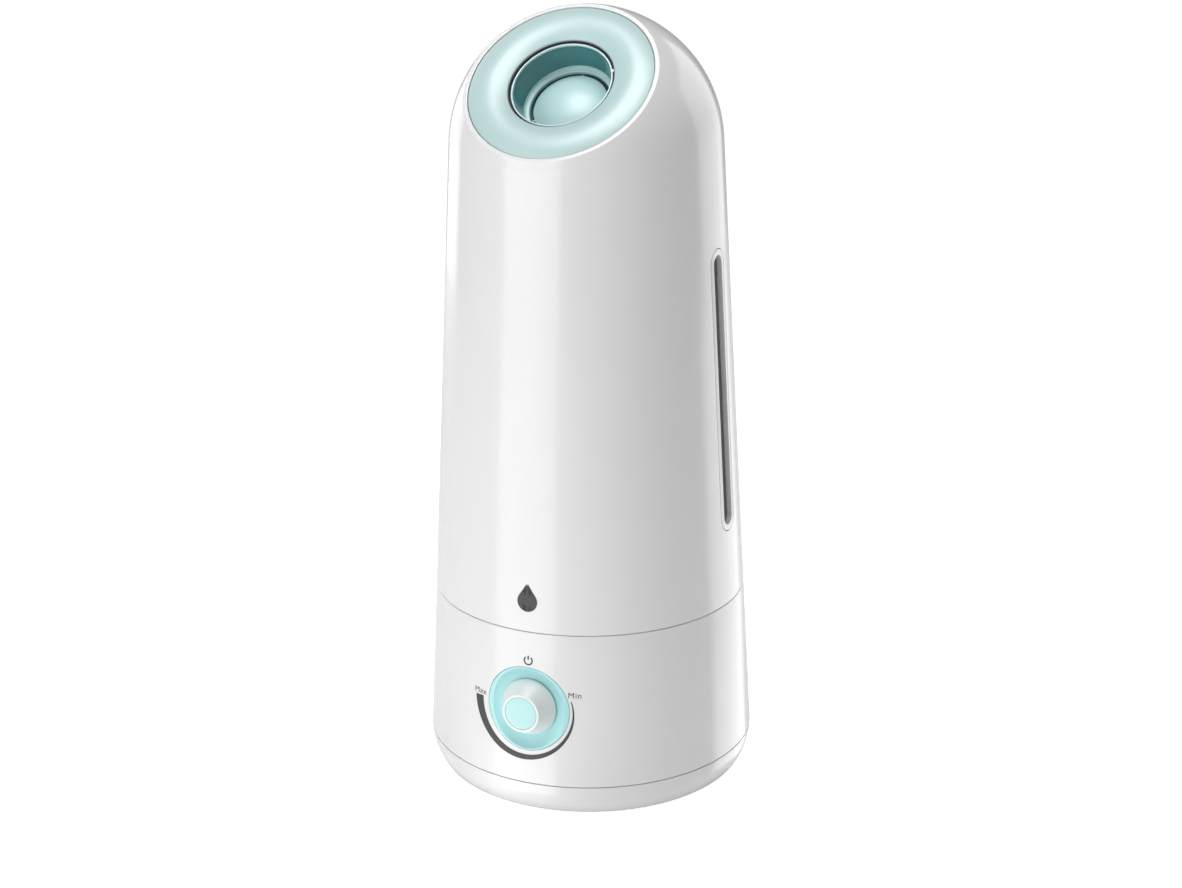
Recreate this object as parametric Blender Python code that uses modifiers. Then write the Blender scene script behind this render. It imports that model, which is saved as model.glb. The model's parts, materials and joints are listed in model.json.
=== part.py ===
# Cool mist humidifier: a tapered tower whose water tank lifts off a base with a control knob.
# A slanted face near the top carries a mint ring and the mist nozzle.
# Metres, +Z up, the front towards -Y, the origin on the tower's axis at the surface it stands on.

import math

import bmesh
import bpy
from mathutils import Matrix, Vector

# Overall form
BASE_RADIUS = 0.100         # outer radius at the seam between pan and base shell
TAPER = 0.056               # radius lost per metre of height
FOOT_STAND = 0.002          # how far the feet hold the pan off the table
PAN_HEIGHT = 0.0191         # from the pan's lowest edge to its seam
BASE_HEIGHT = 0.0945        # from the pan's seam to the tank's seam
TANK_HEIGHT = 0.2685        # from the tank's seam to the centre of the dome
WALL = 0.0025               # moulded walls
GAP = 0.0003                # between pieces that touch
SEAM = 0.0008               # open line between tank and base
PAN_SEAM = 0.0003           # open line between pan and base shell

# Pan
PAN_EDGE_INSET = 0.0061     # how much narrower the pan is at its lowest edge
PAN_EDGE_TURN = math.radians(34.4)
PAN_CORNER = 0.0075         # slope between the pan's floor and its wall
TONGUE_HEIGHT = 0.004       # lip of the pan that stands inside the base shell
TONGUE_WALL = 0.0015
FOOT_RADIUS = 0.007
FOOT_POCKET = 0.001
FOOT_INSET = 0.0179         # from the pan's edge to a foot's centre
POST_RADIUS = 0.0045        # screw posts
POST_RISE = 0.003           # post top above the pan's seam
SCREW_RADIUS = 0.0014
SCREW_HEAD_RADIUS = 0.0028
SCREW_HEAD = 0.002
SCREW_CLEARANCE = 0.0003
BOSS_HEIGHT = 0.0155
SCREW_BITE = 0.0095         # screw length inside the boss

# Knob and its dish
KNOB_RISE = 0.0470          # knob axis above the pan's seam
DISH_RADIUS = 0.0258
DISH_DEPTH = 0.0050
DISH_FLOOR = 0.002
BOWL_POWER = 2.2            # how late the dish's wall turns up
KNOB_BASE_RADIUS = 0.0172
KNOB_FRONT_RADIUS = 0.0113
KNOB_REACH = 0.0085         # knob front in front of the base shell
KNOB_LIFT = 0.0007          # knob's back above the dish floor
KNOB_CAP_RADIUS = 0.0097
KNOB_CAP_DEPTH = 0.0015
SHAFT_RADIUS = 0.003
SHAFT_CLEARANCE = 0.0002
BUSHING_RADIUS = 0.0040
SWITCH_RADIUS = 0.0085
SWITCH_DEPTH = 0.0092
NUT_RADIUS = 0.0064
NUT_HEIGHT = 0.0020

# Power inlet at the back
INLET_RISE = 0.017          # inlet axis above the pan's seam
INLET_RADIUS = 0.006
INLET_COLLAR_RADIUS = 0.0076
INLET_PROUD = 0.003
INLET_DEPTH = 0.014
INLET_BORE = 0.0036
INLET_BORE_DEPTH = 0.009

# Water tray
TRAY_WALL = 0.0022
RIM_WALL = 0.0024
RIM_DROP = 0.0008           # tray rim below the tank's seam
LEDGE_DROP = 0.0078         # base shell's ledge below the tank's seam
LEDGE_WIDTH = 0.0035
SEAL_HEIGHT = 0.0012
SHELF_DROP = 0.0091         # tray's shelf below the tank's seam
SHELF_WIDTH = 0.0053
BASIN_DEPTH = 0.0215        # basin floor below the shelf
BASIN_SLOPE = 0.0050
WELL_DEPTH = 0.0055
WELL_RADIUS = 0.0150
WELL_SLOPE = 0.0040
DISC_RADIUS = 0.0098
DISC_THICKNESS = 0.0012
DISC_LIP = 0.0013           # how far the gasket and the tray overlap the disc
GASKET_WALL = 0.0021
COLLAR_WALL = 0.0024
CLAMP_PLATE = 0.0012
POST_THIN = 0.0020
FLOAT_RADIUS = 0.012
FLOAT_HEIGHT = 0.010
FLOAT_TRAVEL = 0.008
FLOAT_RUNNING = 0.0006
MAGNET_WIDTH = 0.0026
MAGNET_HEIGHT = 0.0024

# Fan and air duct
FAN_HALF = 0.025
FAN_HEIGHT = 0.015
FAN_BORE = 0.0235
FAN_MARGIN = 0.006          # fan corners to the edge of the pan's floor
HUB_RADIUS = 0.0105
HUB_WALL = 0.0012
STATOR_RADIUS = 0.0085
FAN_PIN = 0.001
BLADES = 7
BLADE_THICK = 0.0012
BLADE_WIDTH = 0.0105
BLADE_PITCH = math.radians(40)
CHIMNEY_RADIUS = 0.0105     # bore of the tray's air chimney
CHIMNEY_WALL = 0.0020
CHIMNEY_RISE = 0.025        # chimney top above the basin floor
CHIMNEY_DROP = 0.0068       # chimney end below the tray
DUCT_LAP = 0.003            # how far the air duct reaches over the chimney's end
DUCT_WALL = 0.0017
SLOT_COUNT = 5
SLOT_WIDTH = 0.003
SLOT_PITCH = 0.0065
SLOT_LENGTH = 0.036

# Driver board
BOARD_LENGTH = 0.050
BOARD_WIDTH = 0.056
BOARD_THICK = 0.0016
BOARD_MARGIN = 0.010
BOARD_STAND = 0.0132        # board above the pan's floor
BOARD_POST = 0.003
BOARD_INSET = 0.005
SINK_BASE = 0.0025
SINK_FINS = 6
FIN_HEIGHT = 0.015
CAN_RADIUS = 0.005
CAN_HEIGHT = 0.016
COIL_HALF = 0.007
COIL_HEIGHT = 0.013

# Tank
TANK_FLOOR_RISE = 0.0059    # tank floor's underside above the tank's seam
TANK_FLOOR = 0.0025
SKIRT_WALL = 0.0022
SKIRT_CLEARANCE = 0.001     # between the tray's wall and the tank's skirt
DUCT_RADIUS = 0.020         # bore of the mist duct
DUCT_SHELL = 0.002
DUCT_DIP = 0.0106           # mist duct's lower end below the tank's seam
DUCT_COLLAR = 0.0025
CAP_CLEARANCE = 0.0064      # around the tank cap
CAP_SKIN = 0.0031
CAP_HEIGHT = 0.013
THREAD_CLEARANCE = 0.0004
NECK_WALL = 0.002
NECK_HEIGHT = 0.011
CAP_PLATE = 0.0025
CAP_GASKET = 0.0014
STEM_RADIUS = 0.002
STEM_DROP = 0.011           # stem's lower end below the cap
STEM_BUTTON = 0.0045
STEM_FLANGE = 0.0085
POST_GAP = 0.0005           # between the tray's post and the stem
SPRING_RADIUS = 0.0036
SPRING_WIRE = 0.0004
SPRING_TURNS = 3.5

# Window in the tank's side
WINDOW_TURN = math.radians(-3.5)   # window's place, turned from +X towards the front
WINDOW_RISE = 0.0451
WINDOW_LENGTH = 0.1694
WINDOW_HALF = 0.00875
BEZEL_WIDTH = 0.00345
BEZEL_DEPTH = 0.0050
LENS_RECESS = 0.0030
LENS_THICK = 0.0015

# Slanted face, mint ring and nozzle
FACE_TILT = math.radians(41.7)     # face normal, tipped from vertical towards the front
RIM_RADIUS = 0.0567
RIM_WIDTH = 0.0027
RING_LINE = 0.0003
RING_EDGE_DROP = 0.0006
RING_INNER_DROP = 0.0024
RING_CROWN = 0.0024
RING_DEPTH = 0.0044
PLATE_THICK = 0.002
DOME_FIT = 0.00035          # top plate's edge clear of the dome's flats
NOZZLE_RADIUS = 0.0299
NOZZLE_LINE = 0.0011        # open line between mint ring and nozzle
NOZZLE_LIP_DROP = 0.0018
NOZZLE_LIP = 0.0012
NOZZLE_FLANGE = 0.0015      # lip's overhang outside the cup's wall
CUP_DEPTH = 0.019
CUP_TAPER = 0.0034
CUP_LEDGE = 0.0013
CUP_LENGTH = 0.0295
SOCKET_CLEARANCE = 0.0005
SOCKET_WALL = 0.002
SOCKET_END = 0.001
SEAL_FROM_END = 0.0030
SEAL_WIDTH = 0.0024
SEAL_DEEP = 0.0010
MIST_GAP = 0.0020
MIST_CROWN = 0.0055
MIST_THICK = 0.002
MIST_SKIRT = 0.001
FIN_THICK = 0.0015
FIN_DEEP = 0.0085

# Fineness of round shapes
LARGE = 36
MEDIUM = 24
SMALL = 16
TINY = 12
DOME_STEPS = 12
PAN_STEPS = 5
BOWL_STEPS = 6
CROWN_STEPS = 8
MIST_STEPS = 6
BEND_STEPS = 6
CAPSULE_STEPS = 6
ROUND_SHARE = 0.995         # of half a slot's width, so that its round ends keep a sliver of straight
SPRING_STEPS = 8            # points in each turn of the valve spring

# Heights and radii that follow
pan_seam_z = FOOT_STAND + PAN_HEIGHT
tank_seam_z = pan_seam_z + BASE_HEIGHT
dome_z = tank_seam_z + TANK_HEIGHT
slope = math.atan(TAPER)
slanted_wall = WALL / math.cos(slope)


def skin(z):
    return BASE_RADIUS - TAPER * (z - pan_seam_z)


def inner_skin(z):
    return skin(z) - slanted_wall


dome_radius = skin(dome_z) * math.cos(slope)
dome_inner = dome_radius - WALL

pan_floor_z = FOOT_STAND + WALL
pan_edge_radius = BASE_RADIUS - PAN_EDGE_INSET
tongue_radius = inner_skin(pan_seam_z + TONGUE_HEIGHT) - GAP
pan_inner_radius = tongue_radius - TONGUE_WALL
pan_floor_radius = pan_inner_radius - PAN_CORNER
foot_circle = pan_edge_radius - FOOT_INSET
post_circle = pan_inner_radius - 2 * POST_RADIUS
post_top_z = pan_seam_z + POST_RISE
boss_bottom_z = post_top_z + GAP
foot_angles = [math.radians(45 + 90 * i) for i in range(4)]
screw_angles = [math.radians(22.5 + 90 * i) for i in range(4)]

knob_z = pan_seam_z + KNOB_RISE
inlet_z = pan_seam_z + INLET_RISE

ledge_z = tank_seam_z - LEDGE_DROP
ledge_radius = inner_skin(ledge_z) - LEDGE_WIDTH
rim_radius = inner_skin(tank_seam_z) - GAP
rim_inner = rim_radius - RIM_WALL
rim_bottom_z = ledge_z + GAP + SEAL_HEIGHT + GAP
shelf_z = tank_seam_z - SHELF_DROP
tray_step = ledge_radius - 2 * GAP
tray_inner = tray_step - TRAY_WALL
basin_top_radius = tray_inner - SHELF_WIDTH
basin_radius = basin_top_radius - BASIN_SLOPE
basin_z = shelf_z - BASIN_DEPTH
well_z = basin_z - WELL_DEPTH
disc_window = DISC_RADIUS - DISC_LIP
gasket_radius = DISC_RADIUS + GAP + GASKET_WALL

skirt_radius = tray_inner - SKIRT_CLEARANCE
skirt_inner = skirt_radius - SKIRT_WALL
tank_floor_z = tank_seam_z + TANK_FLOOR_RISE
duct_outer = DUCT_RADIUS + DUCT_SHELL
duct_collar = duct_outer + GAP + DUCT_COLLAR
cap_y = (duct_collar + skirt_inner) / 2
cap_radius = (skirt_inner - duct_collar) / 2 - CAP_CLEARANCE
neck_radius = cap_radius - CAP_SKIN - THREAD_CLEARANCE
neck_z = tank_floor_z - NECK_HEIGHT
cap_plate_z = neck_z - GAP - CAP_GASKET - GAP
stem_z = cap_plate_z - CAP_PLATE - STEM_DROP
float_x = -(duct_outer + basin_radius) / 2

fan_x = math.sqrt((pan_floor_radius - FAN_MARGIN) ** 2 - FAN_HALF ** 2) - FAN_HALF
fan_z = pan_floor_z + GAP
board_x = BOARD_LENGTH / 2 - math.sqrt((pan_floor_radius - BOARD_MARGIN) ** 2 - (BOARD_WIDTH / 2) ** 2)
board_z = pan_floor_z + BOARD_STAND + GAP

# Both the turning and the dome's arc leave flats, which stand this far inside the true dome
flat_depth = dome_inner * (2 - math.cos(math.pi / LARGE) - math.cos((math.pi / 2 - slope) / (2 * DOME_STEPS)))

face_h = math.sqrt(dome_radius ** 2 - RIM_RADIUS ** 2)
ring_radius = RIM_RADIUS - RIM_WIDTH
ring_inner = NOZZLE_RADIUS + NOZZLE_LINE
plate_h = face_h - RING_DEPTH - GAP
lip_h = face_h - NOZZLE_LIP_DROP
cup_outer = NOZZLE_RADIUS - NOZZLE_FLANGE
socket_radius = cup_outer + SOCKET_CLEARANCE
cup_end_h = lip_h - CUP_LENGTH
socket_end_h = cup_end_h - SOCKET_END
ledge_h = lip_h - CUP_DEPTH
cup_low = NOZZLE_RADIUS - NOZZLE_LIP - CUP_TAPER
spigot_bore = cup_low - CUP_LEDGE
mist_radius = spigot_bore - MIST_GAP


# The scene starts empty
for old in list(bpy.data.objects):
    bpy.data.objects.remove(old, do_unlink=True)

parts = bpy.data.collections.new("cool_mist_humidifier")
cutters = bpy.data.collections.new("cutters")
bpy.context.scene.collection.children.link(parts)
bpy.context.scene.collection.children.link(cutters)


def finish(name, colour, roughness, metallic=0.0):
    material = bpy.data.materials.new(name)
    material.use_nodes = True
    shader = material.node_tree.nodes["Principled BSDF"]
    shader.inputs["Base Color"].default_value = (*colour, 1.0)
    shader.inputs["Roughness"].default_value = roughness
    shader.inputs["Metallic"].default_value = metallic
    return material


WHITE = ((0.86, 0.86, 0.86), 0.25)
MINT = ((0.55, 0.80, 0.79), 0.28)
PEARL = ((0.84, 0.83, 0.82), 0.25)
RUBBER = ((0.05, 0.05, 0.05), 0.8)
SILICONE = ((0.72, 0.74, 0.74), 0.6)
BLACK = ((0.03, 0.03, 0.035), 0.45)
SMOKED = ((0.06, 0.07, 0.07), 0.15)
GREEN = ((0.03, 0.22, 0.10), 0.5)
COPPER = ((0.70, 0.36, 0.18), 0.4, 1.0)
STEEL = ((0.62, 0.62, 0.63), 0.3, 1.0)
ALUMINIUM = ((0.75, 0.76, 0.78), 0.35, 1.0)
CERAMIC = ((0.85, 0.80, 0.66), 0.35)


def guide(name, matrix):
    # An empty on the axis of the pieces that hang on it
    empty = bpy.data.objects.new(name, None)
    parts.objects.link(empty)
    empty.matrix_world = matrix
    return empty


def upright(x=0.0, y=0.0):
    return Matrix.Translation((x, y, 0.0))


def tipped(origin, angle):
    return Matrix.Translation(origin) @ Matrix.Rotation(angle, 4, "X")


tower = guide("tower_axis", upright())
head = guide("nozzle_axis", tipped((0.0, 0.0, dome_z), FACE_TILT))
dial = guide("knob_axis", tipped((0.0, -skin(knob_z), knob_z), math.pi / 2 - slope))
inlet = guide("inlet_axis", tipped((0.0, skin(inlet_z), inlet_z), slope - math.pi / 2))
filler = guide("cap_axis", upright(0.0, cap_y))
bobber = guide("float_axis", upright(float_x, 0.0))
blower = guide("fan_axis", upright(fan_x, 0.0))
window_mid_z = tank_seam_z + WINDOW_RISE + WINDOW_LENGTH / 2
window = guide(
    "window_axis",
    Matrix.Rotation(WINDOW_TURN, 4, "Z")
    @ Matrix.Translation((skin(window_mid_z), 0.0, window_mid_z))
    @ Matrix.Rotation(-slope, 4, "Y"),
)


def place(name, mesh, axis, look=None):
    piece = bpy.data.objects.new(name, mesh)
    piece.parent = axis
    if look is None:
        cutters.objects.link(piece)
        piece.hide_render = True
        piece.display_type = "WIRE"
    else:
        parts.objects.link(piece)
        mesh.materials.append(finish(name, *look))
    return piece


def turned(name, profile, axis, look=None, steps=LARGE):
    # A profile in radius and height, turned about the axis; it closes on itself or on the axis
    mesh = bpy.data.meshes.new(name)
    count = len(profile)
    edges = [(i, i + 1) for i in range(count - 1)]
    if profile[0][0] > 0:
        edges.append((count - 1, 0))
    mesh.from_pydata([(r, 0.0, h) for r, h in profile], edges, [])
    piece = place(name, mesh, axis, look)
    screw = piece.modifiers.new("turn", "SCREW")
    screw.steps = steps
    screw.render_steps = steps
    screw.use_merge_vertices = True
    screw.merge_threshold = 0.00002
    screw.use_smooth_shade = True
    return piece


def shape(name, build, axis, look=None):
    bm = bmesh.new()
    build(bm)
    mesh = bpy.data.meshes.new(name)
    bm.to_mesh(mesh)
    bm.free()
    return place(name, mesh, axis, look)


def add_rod(bm, radius, low, high, at=(0.0, 0.0), sides=SMALL):
    middle = Matrix.Translation((at[0], at[1], (low + high) / 2))
    bmesh.ops.create_cone(
        bm, cap_ends=True, segments=sides, radius1=radius, radius2=radius, depth=high - low, matrix=middle
    )


def add_block(bm, low, high, turn=None):
    low = Vector(low)
    high = Vector(high)
    scale = Matrix.Diagonal((*(high - low), 1.0))
    matrix = Matrix.Translation((low + high) / 2) @ scale
    if turn is not None:
        matrix = turn @ matrix
    return bmesh.ops.create_cube(bm, size=1.0, matrix=matrix)["verts"]


def rods(name, axis, radius, low, high, spots, sides=SMALL):
    def build(bm):
        for spot in spots:
            add_rod(bm, radius, low, high, spot, sides)

    return shape(name, build, axis)


def boolean(piece, tool, operation):
    modifier = piece.modifiers.new(tool.name, "BOOLEAN")
    modifier.operation = operation
    modifier.object = tool
    modifier.solver = "EXACT"


def cut(piece, tool):
    boolean(piece, tool, "DIFFERENCE")


def fuse(piece, tool):
    boolean(piece, tool, "UNION")


def keep(piece, tool):
    boolean(piece, tool, "INTERSECT")


def ring_profile(inner, outer, low, high):
    return [(inner, high), (outer, high), (outer, low), (inner, low)]


def around(radius, angles):
    return [(radius * math.cos(a), radius * math.sin(a)) for a in angles]


# Bottom pan: a dished bowl with a tongue that stands inside the base shell
def make_pan():
    top = pan_seam_z - PAN_SEAM / 2
    rise = top - FOOT_STAND
    arc_height = rise / math.sin(PAN_EDGE_TURN)
    arc_width = PAN_EDGE_INSET / (1 - math.cos(PAN_EDGE_TURN))
    curve = []
    for i in range(PAN_STEPS + 1):
        a = PAN_EDGE_TURN * i / PAN_STEPS
        curve.append((BASE_RADIUS - arc_width * (1 - math.cos(a)), top - arc_height * math.sin(a)))
    profile = [
        (0.0, pan_floor_z),
        (pan_floor_radius, pan_floor_z),
        (pan_inner_radius, pan_floor_z + PAN_CORNER),
        (pan_inner_radius, pan_seam_z + TONGUE_HEIGHT),
        (tongue_radius, pan_seam_z + TONGUE_HEIGHT),
        (tongue_radius, top),
        *curve,
        (0.0, FOOT_STAND),
    ]
    pan = turned("bottom_pan", profile, tower, WHITE)
    posts = around(post_circle, screw_angles)
    inside = pan_floor_z - WALL / 2
    fuse(pan, rods("pan_screw_posts", tower, POST_RADIUS, inside, post_top_z, posts))
    board_posts = []
    for side_x in (-1, 1):
        for side_y in (-1, 1):
            x = board_x + side_x * (BOARD_LENGTH / 2 - BOARD_INSET)
            y = side_y * (BOARD_WIDTH / 2 - BOARD_INSET)
            board_posts.append((x, y))
    fuse(pan, rods("pan_board_posts", tower, BOARD_POST, inside, board_z - GAP, board_posts, TINY))
    head_room = SCREW_HEAD_RADIUS + SCREW_CLEARANCE
    hole = SCREW_RADIUS + SCREW_CLEARANCE
    head_top = FOOT_STAND + 2 * SCREW_HEAD
    cut(pan, rods("pan_head_holes", tower, head_room, 0.0, head_top, posts, TINY))
    cut(pan, rods("pan_shank_holes", tower, hole, FOOT_STAND, post_top_z + WALL, posts, TINY))
    feet = around(foot_circle, foot_angles)
    cut(pan, rods("pan_foot_pockets", tower, FOOT_RADIUS + GAP, 0.0, FOOT_STAND + FOOT_POCKET, feet))

    def slots(bm):
        for i in range(SLOT_COUNT):
            y = (i - (SLOT_COUNT - 1) / 2) * SLOT_PITCH
            low = (fan_x - SLOT_LENGTH / 2, y - SLOT_WIDTH / 2, 0.0)
            high = (fan_x + SLOT_LENGTH / 2, y + SLOT_WIDTH / 2, pan_floor_z + WALL)
            add_block(bm, low, high)

    cut(pan, shape("pan_intake_slots", slots, tower))


def make_feet_and_screws():
    foot_top = FOOT_STAND + FOOT_POCKET - GAP
    chamfer = FOOT_STAND * 0.3
    foot = [
        (0.0, foot_top),
        (FOOT_RADIUS, foot_top),
        (FOOT_RADIUS, chamfer),
        (FOOT_RADIUS - chamfer, 0.0),
        (0.0, 0.0),
    ]
    names = ["foot_rear_right", "foot_rear_left", "foot_front_left", "foot_front_right"]
    for name, spot in zip(names, around(foot_circle, foot_angles)):
        turned(name, foot, guide(name + "_axis", upright(*spot)), RUBBER, SMALL)

    head_top = FOOT_STAND + 2 * SCREW_HEAD - GAP
    head_bottom = head_top - SCREW_HEAD
    tip = boss_bottom_z + SCREW_BITE
    screw = [
        (0.0, tip),
        (SCREW_RADIUS / 2, tip),
        (SCREW_RADIUS, tip - SCREW_RADIUS),
        (SCREW_RADIUS, head_top),
        (SCREW_HEAD_RADIUS, head_top),
        (SCREW_HEAD_RADIUS, head_bottom),
        (0.0, head_bottom),
    ]
    for i, spot in enumerate(around(post_circle, screw_angles)):
        name = f"pan_screw_{i + 1}"
        turned(name, screw, guide(name + "_axis", upright(*spot)), STEEL, TINY)


# Base shell: the tapered wall, with a ledge for the tray, screw bosses and the knob's opening
def make_base_shell():
    top = tank_seam_z - SEAM / 2
    bottom = pan_seam_z + PAN_SEAM / 2
    profile = [
        (skin(top), top),
        (skin(bottom), bottom),
        (inner_skin(bottom), bottom),
        (inner_skin(ledge_z - 3 * WALL), ledge_z - 3 * WALL),
        (ledge_radius, ledge_z - WALL),
        (ledge_radius, ledge_z),
        (inner_skin(ledge_z), ledge_z),
        (inner_skin(top), top),
    ]
    shell = turned("base_shell", profile, tower, WHITE)
    bosses = around(post_circle, screw_angles)
    boss_top = boss_bottom_z + BOSS_HEIGHT
    rib_bottom = pan_seam_z + TONGUE_HEIGHT + GAP

    def ribs(bm):
        for angle in screw_angles:
            turn = Matrix.Rotation(angle, 4, "Z")
            low = (post_circle, -WALL / 2, rib_bottom)
            high = (skin(boss_top) - WALL / 2, WALL / 2, boss_top - WALL)
            add_block(bm, low, high, turn)

    fuse(shell, shape("base_boss_ribs", ribs, tower))
    fuse(shell, rods("base_bosses", tower, POST_RADIUS, boss_bottom_z, boss_top, bosses))
    hole = SCREW_RADIUS + SCREW_CLEARANCE
    depth = boss_bottom_z + SCREW_BITE + GAP
    cut(shell, rods("base_boss_holes", tower, hole, boss_bottom_z - WALL, depth, bosses, TINY))

    def knob_opening(bm):
        add_rod(bm, DISH_RADIUS + GAP, -WALL * 6, WALL * 4, sides=LARGE)

    cut(shell, shape("base_knob_opening", knob_opening, dial))

    def inlet_opening(bm):
        add_rod(bm, INLET_RADIUS + GAP, -WALL * 3, WALL * 2)

    cut(shell, shape("base_inlet_opening", inlet_opening, inlet))


# Knob dish: a shallow mint dish whose edge follows the base shell
def make_dish():
    floor = -DISH_DEPTH
    back = floor - DISH_FLOOR
    hole = BUSHING_RADIUS + GAP
    flat = KNOB_BASE_RADIUS
    bowl = []
    for i in range(BOWL_STEPS + 1):
        s = i / BOWL_STEPS
        bowl.append((flat + (DISH_RADIUS - flat) * s, floor + (DISH_DEPTH + WALL / 2) * s ** BOWL_POWER))
    profile = [(hole, floor), *bowl, (DISH_RADIUS, back), (hole, back)]
    dish = turned("knob_dish", profile, dial, MINT, LARGE)
    low = knob_z - 2 * DISH_RADIUS
    high = knob_z + 2 * DISH_RADIUS
    cone = [(0.0, high), (skin(high), high), (skin(low), low), (0.0, low)]
    keep(dish, turned("dish_outline", cone, tower))


# Knob: a truncated cone with a mint cap, on the rotary switch's shaft
def make_knob():
    front = KNOB_REACH
    back = KNOB_LIFT - DISH_DEPTH
    recess_radius = KNOB_CAP_RADIUS + GAP
    recess = front - KNOB_CAP_DEPTH
    nut_room = NUT_RADIUS + 5 * GAP
    nut_top = GAP - DISH_DEPTH + NUT_HEIGHT
    bore = SHAFT_RADIUS + SHAFT_CLEARANCE
    bushing_top = nut_top + GAP
    hollow = bushing_top + 3 * GAP
    shaft_top = recess - WALL
    knob = [
        (0.0, recess),
        (recess_radius, recess),
        (recess_radius, front - GAP),
        ((recess_radius + KNOB_FRONT_RADIUS) / 2, front),
        (KNOB_FRONT_RADIUS, front - 2 * GAP),
        (KNOB_BASE_RADIUS, back + 2 * GAP),
        (KNOB_BASE_RADIUS - 2 * GAP, back),
        (nut_room, back),
        (nut_room, hollow),
        (bore, hollow),
        (bore, shaft_top),
        (0.0, shaft_top),
    ]
    body = turned("knob", knob, dial, PEARL, MEDIUM)

    def pointer(bm):
        low = (-2 * GAP, KNOB_CAP_RADIUS + 2 * GAP, front - 4 * GAP)
        high = (2 * GAP, KNOB_FRONT_RADIUS, front + GAP)
        add_block(bm, low, high)

    fuse(body, shape("knob_pointer", pointer, dial))
    cap = [
        (0.0, front),
        (KNOB_CAP_RADIUS - GAP, front),
        (KNOB_CAP_RADIUS, front - GAP),
        (KNOB_CAP_RADIUS, recess + GAP),
        (0.0, recess + GAP),
    ]
    turned("knob_cap", cap, dial, MINT, MEDIUM)

    switch_top = -DISH_DEPTH - DISH_FLOOR - GAP
    switch_end = switch_top - SWITCH_DEPTH
    bore_end = switch_end + WALL
    shaft = [
        (0.0, shaft_top - GAP),
        (SHAFT_RADIUS, shaft_top - GAP),
        (SHAFT_RADIUS, bore_end + GAP),
        (0.0, bore_end + GAP),
    ]
    turned("switch_shaft", shaft, dial, STEEL, SMALL)
    switch = [
        (0.0, bore_end),
        (bore, bore_end),
        (bore, bushing_top),
        (BUSHING_RADIUS, bushing_top),
        (BUSHING_RADIUS, switch_top),
        (SWITCH_RADIUS, switch_top),
        (SWITCH_RADIUS, switch_end),
        (0.0, switch_end),
    ]
    turned("rotary_switch", switch, dial, ALUMINIUM, SMALL)

    def hexagon(bm):
        add_rod(bm, NUT_RADIUS, GAP - DISH_DEPTH, nut_top, sides=6)

    nut = shape("switch_nut", hexagon, dial, STEEL)
    cut(nut, rods("nut_hole", dial, BUSHING_RADIUS + GAP, -WALL * 4, WALL, [(0.0, 0.0)]))


def make_inlet():
    profile = [
        (0.0, INLET_PROUD - INLET_BORE_DEPTH),
        (INLET_BORE, INLET_PROUD - INLET_BORE_DEPTH),
        (INLET_BORE, INLET_PROUD),
        (INLET_COLLAR_RADIUS - 2 * GAP, INLET_PROUD),
        (INLET_COLLAR_RADIUS, INLET_PROUD - 2 * GAP),
        (INLET_COLLAR_RADIUS, GAP),
        (INLET_RADIUS, GAP),
        (INLET_RADIUS, -INLET_DEPTH),
        (0.0, -INLET_DEPTH),
    ]
    turned("power_inlet", profile, inlet, BLACK, SMALL)


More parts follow.
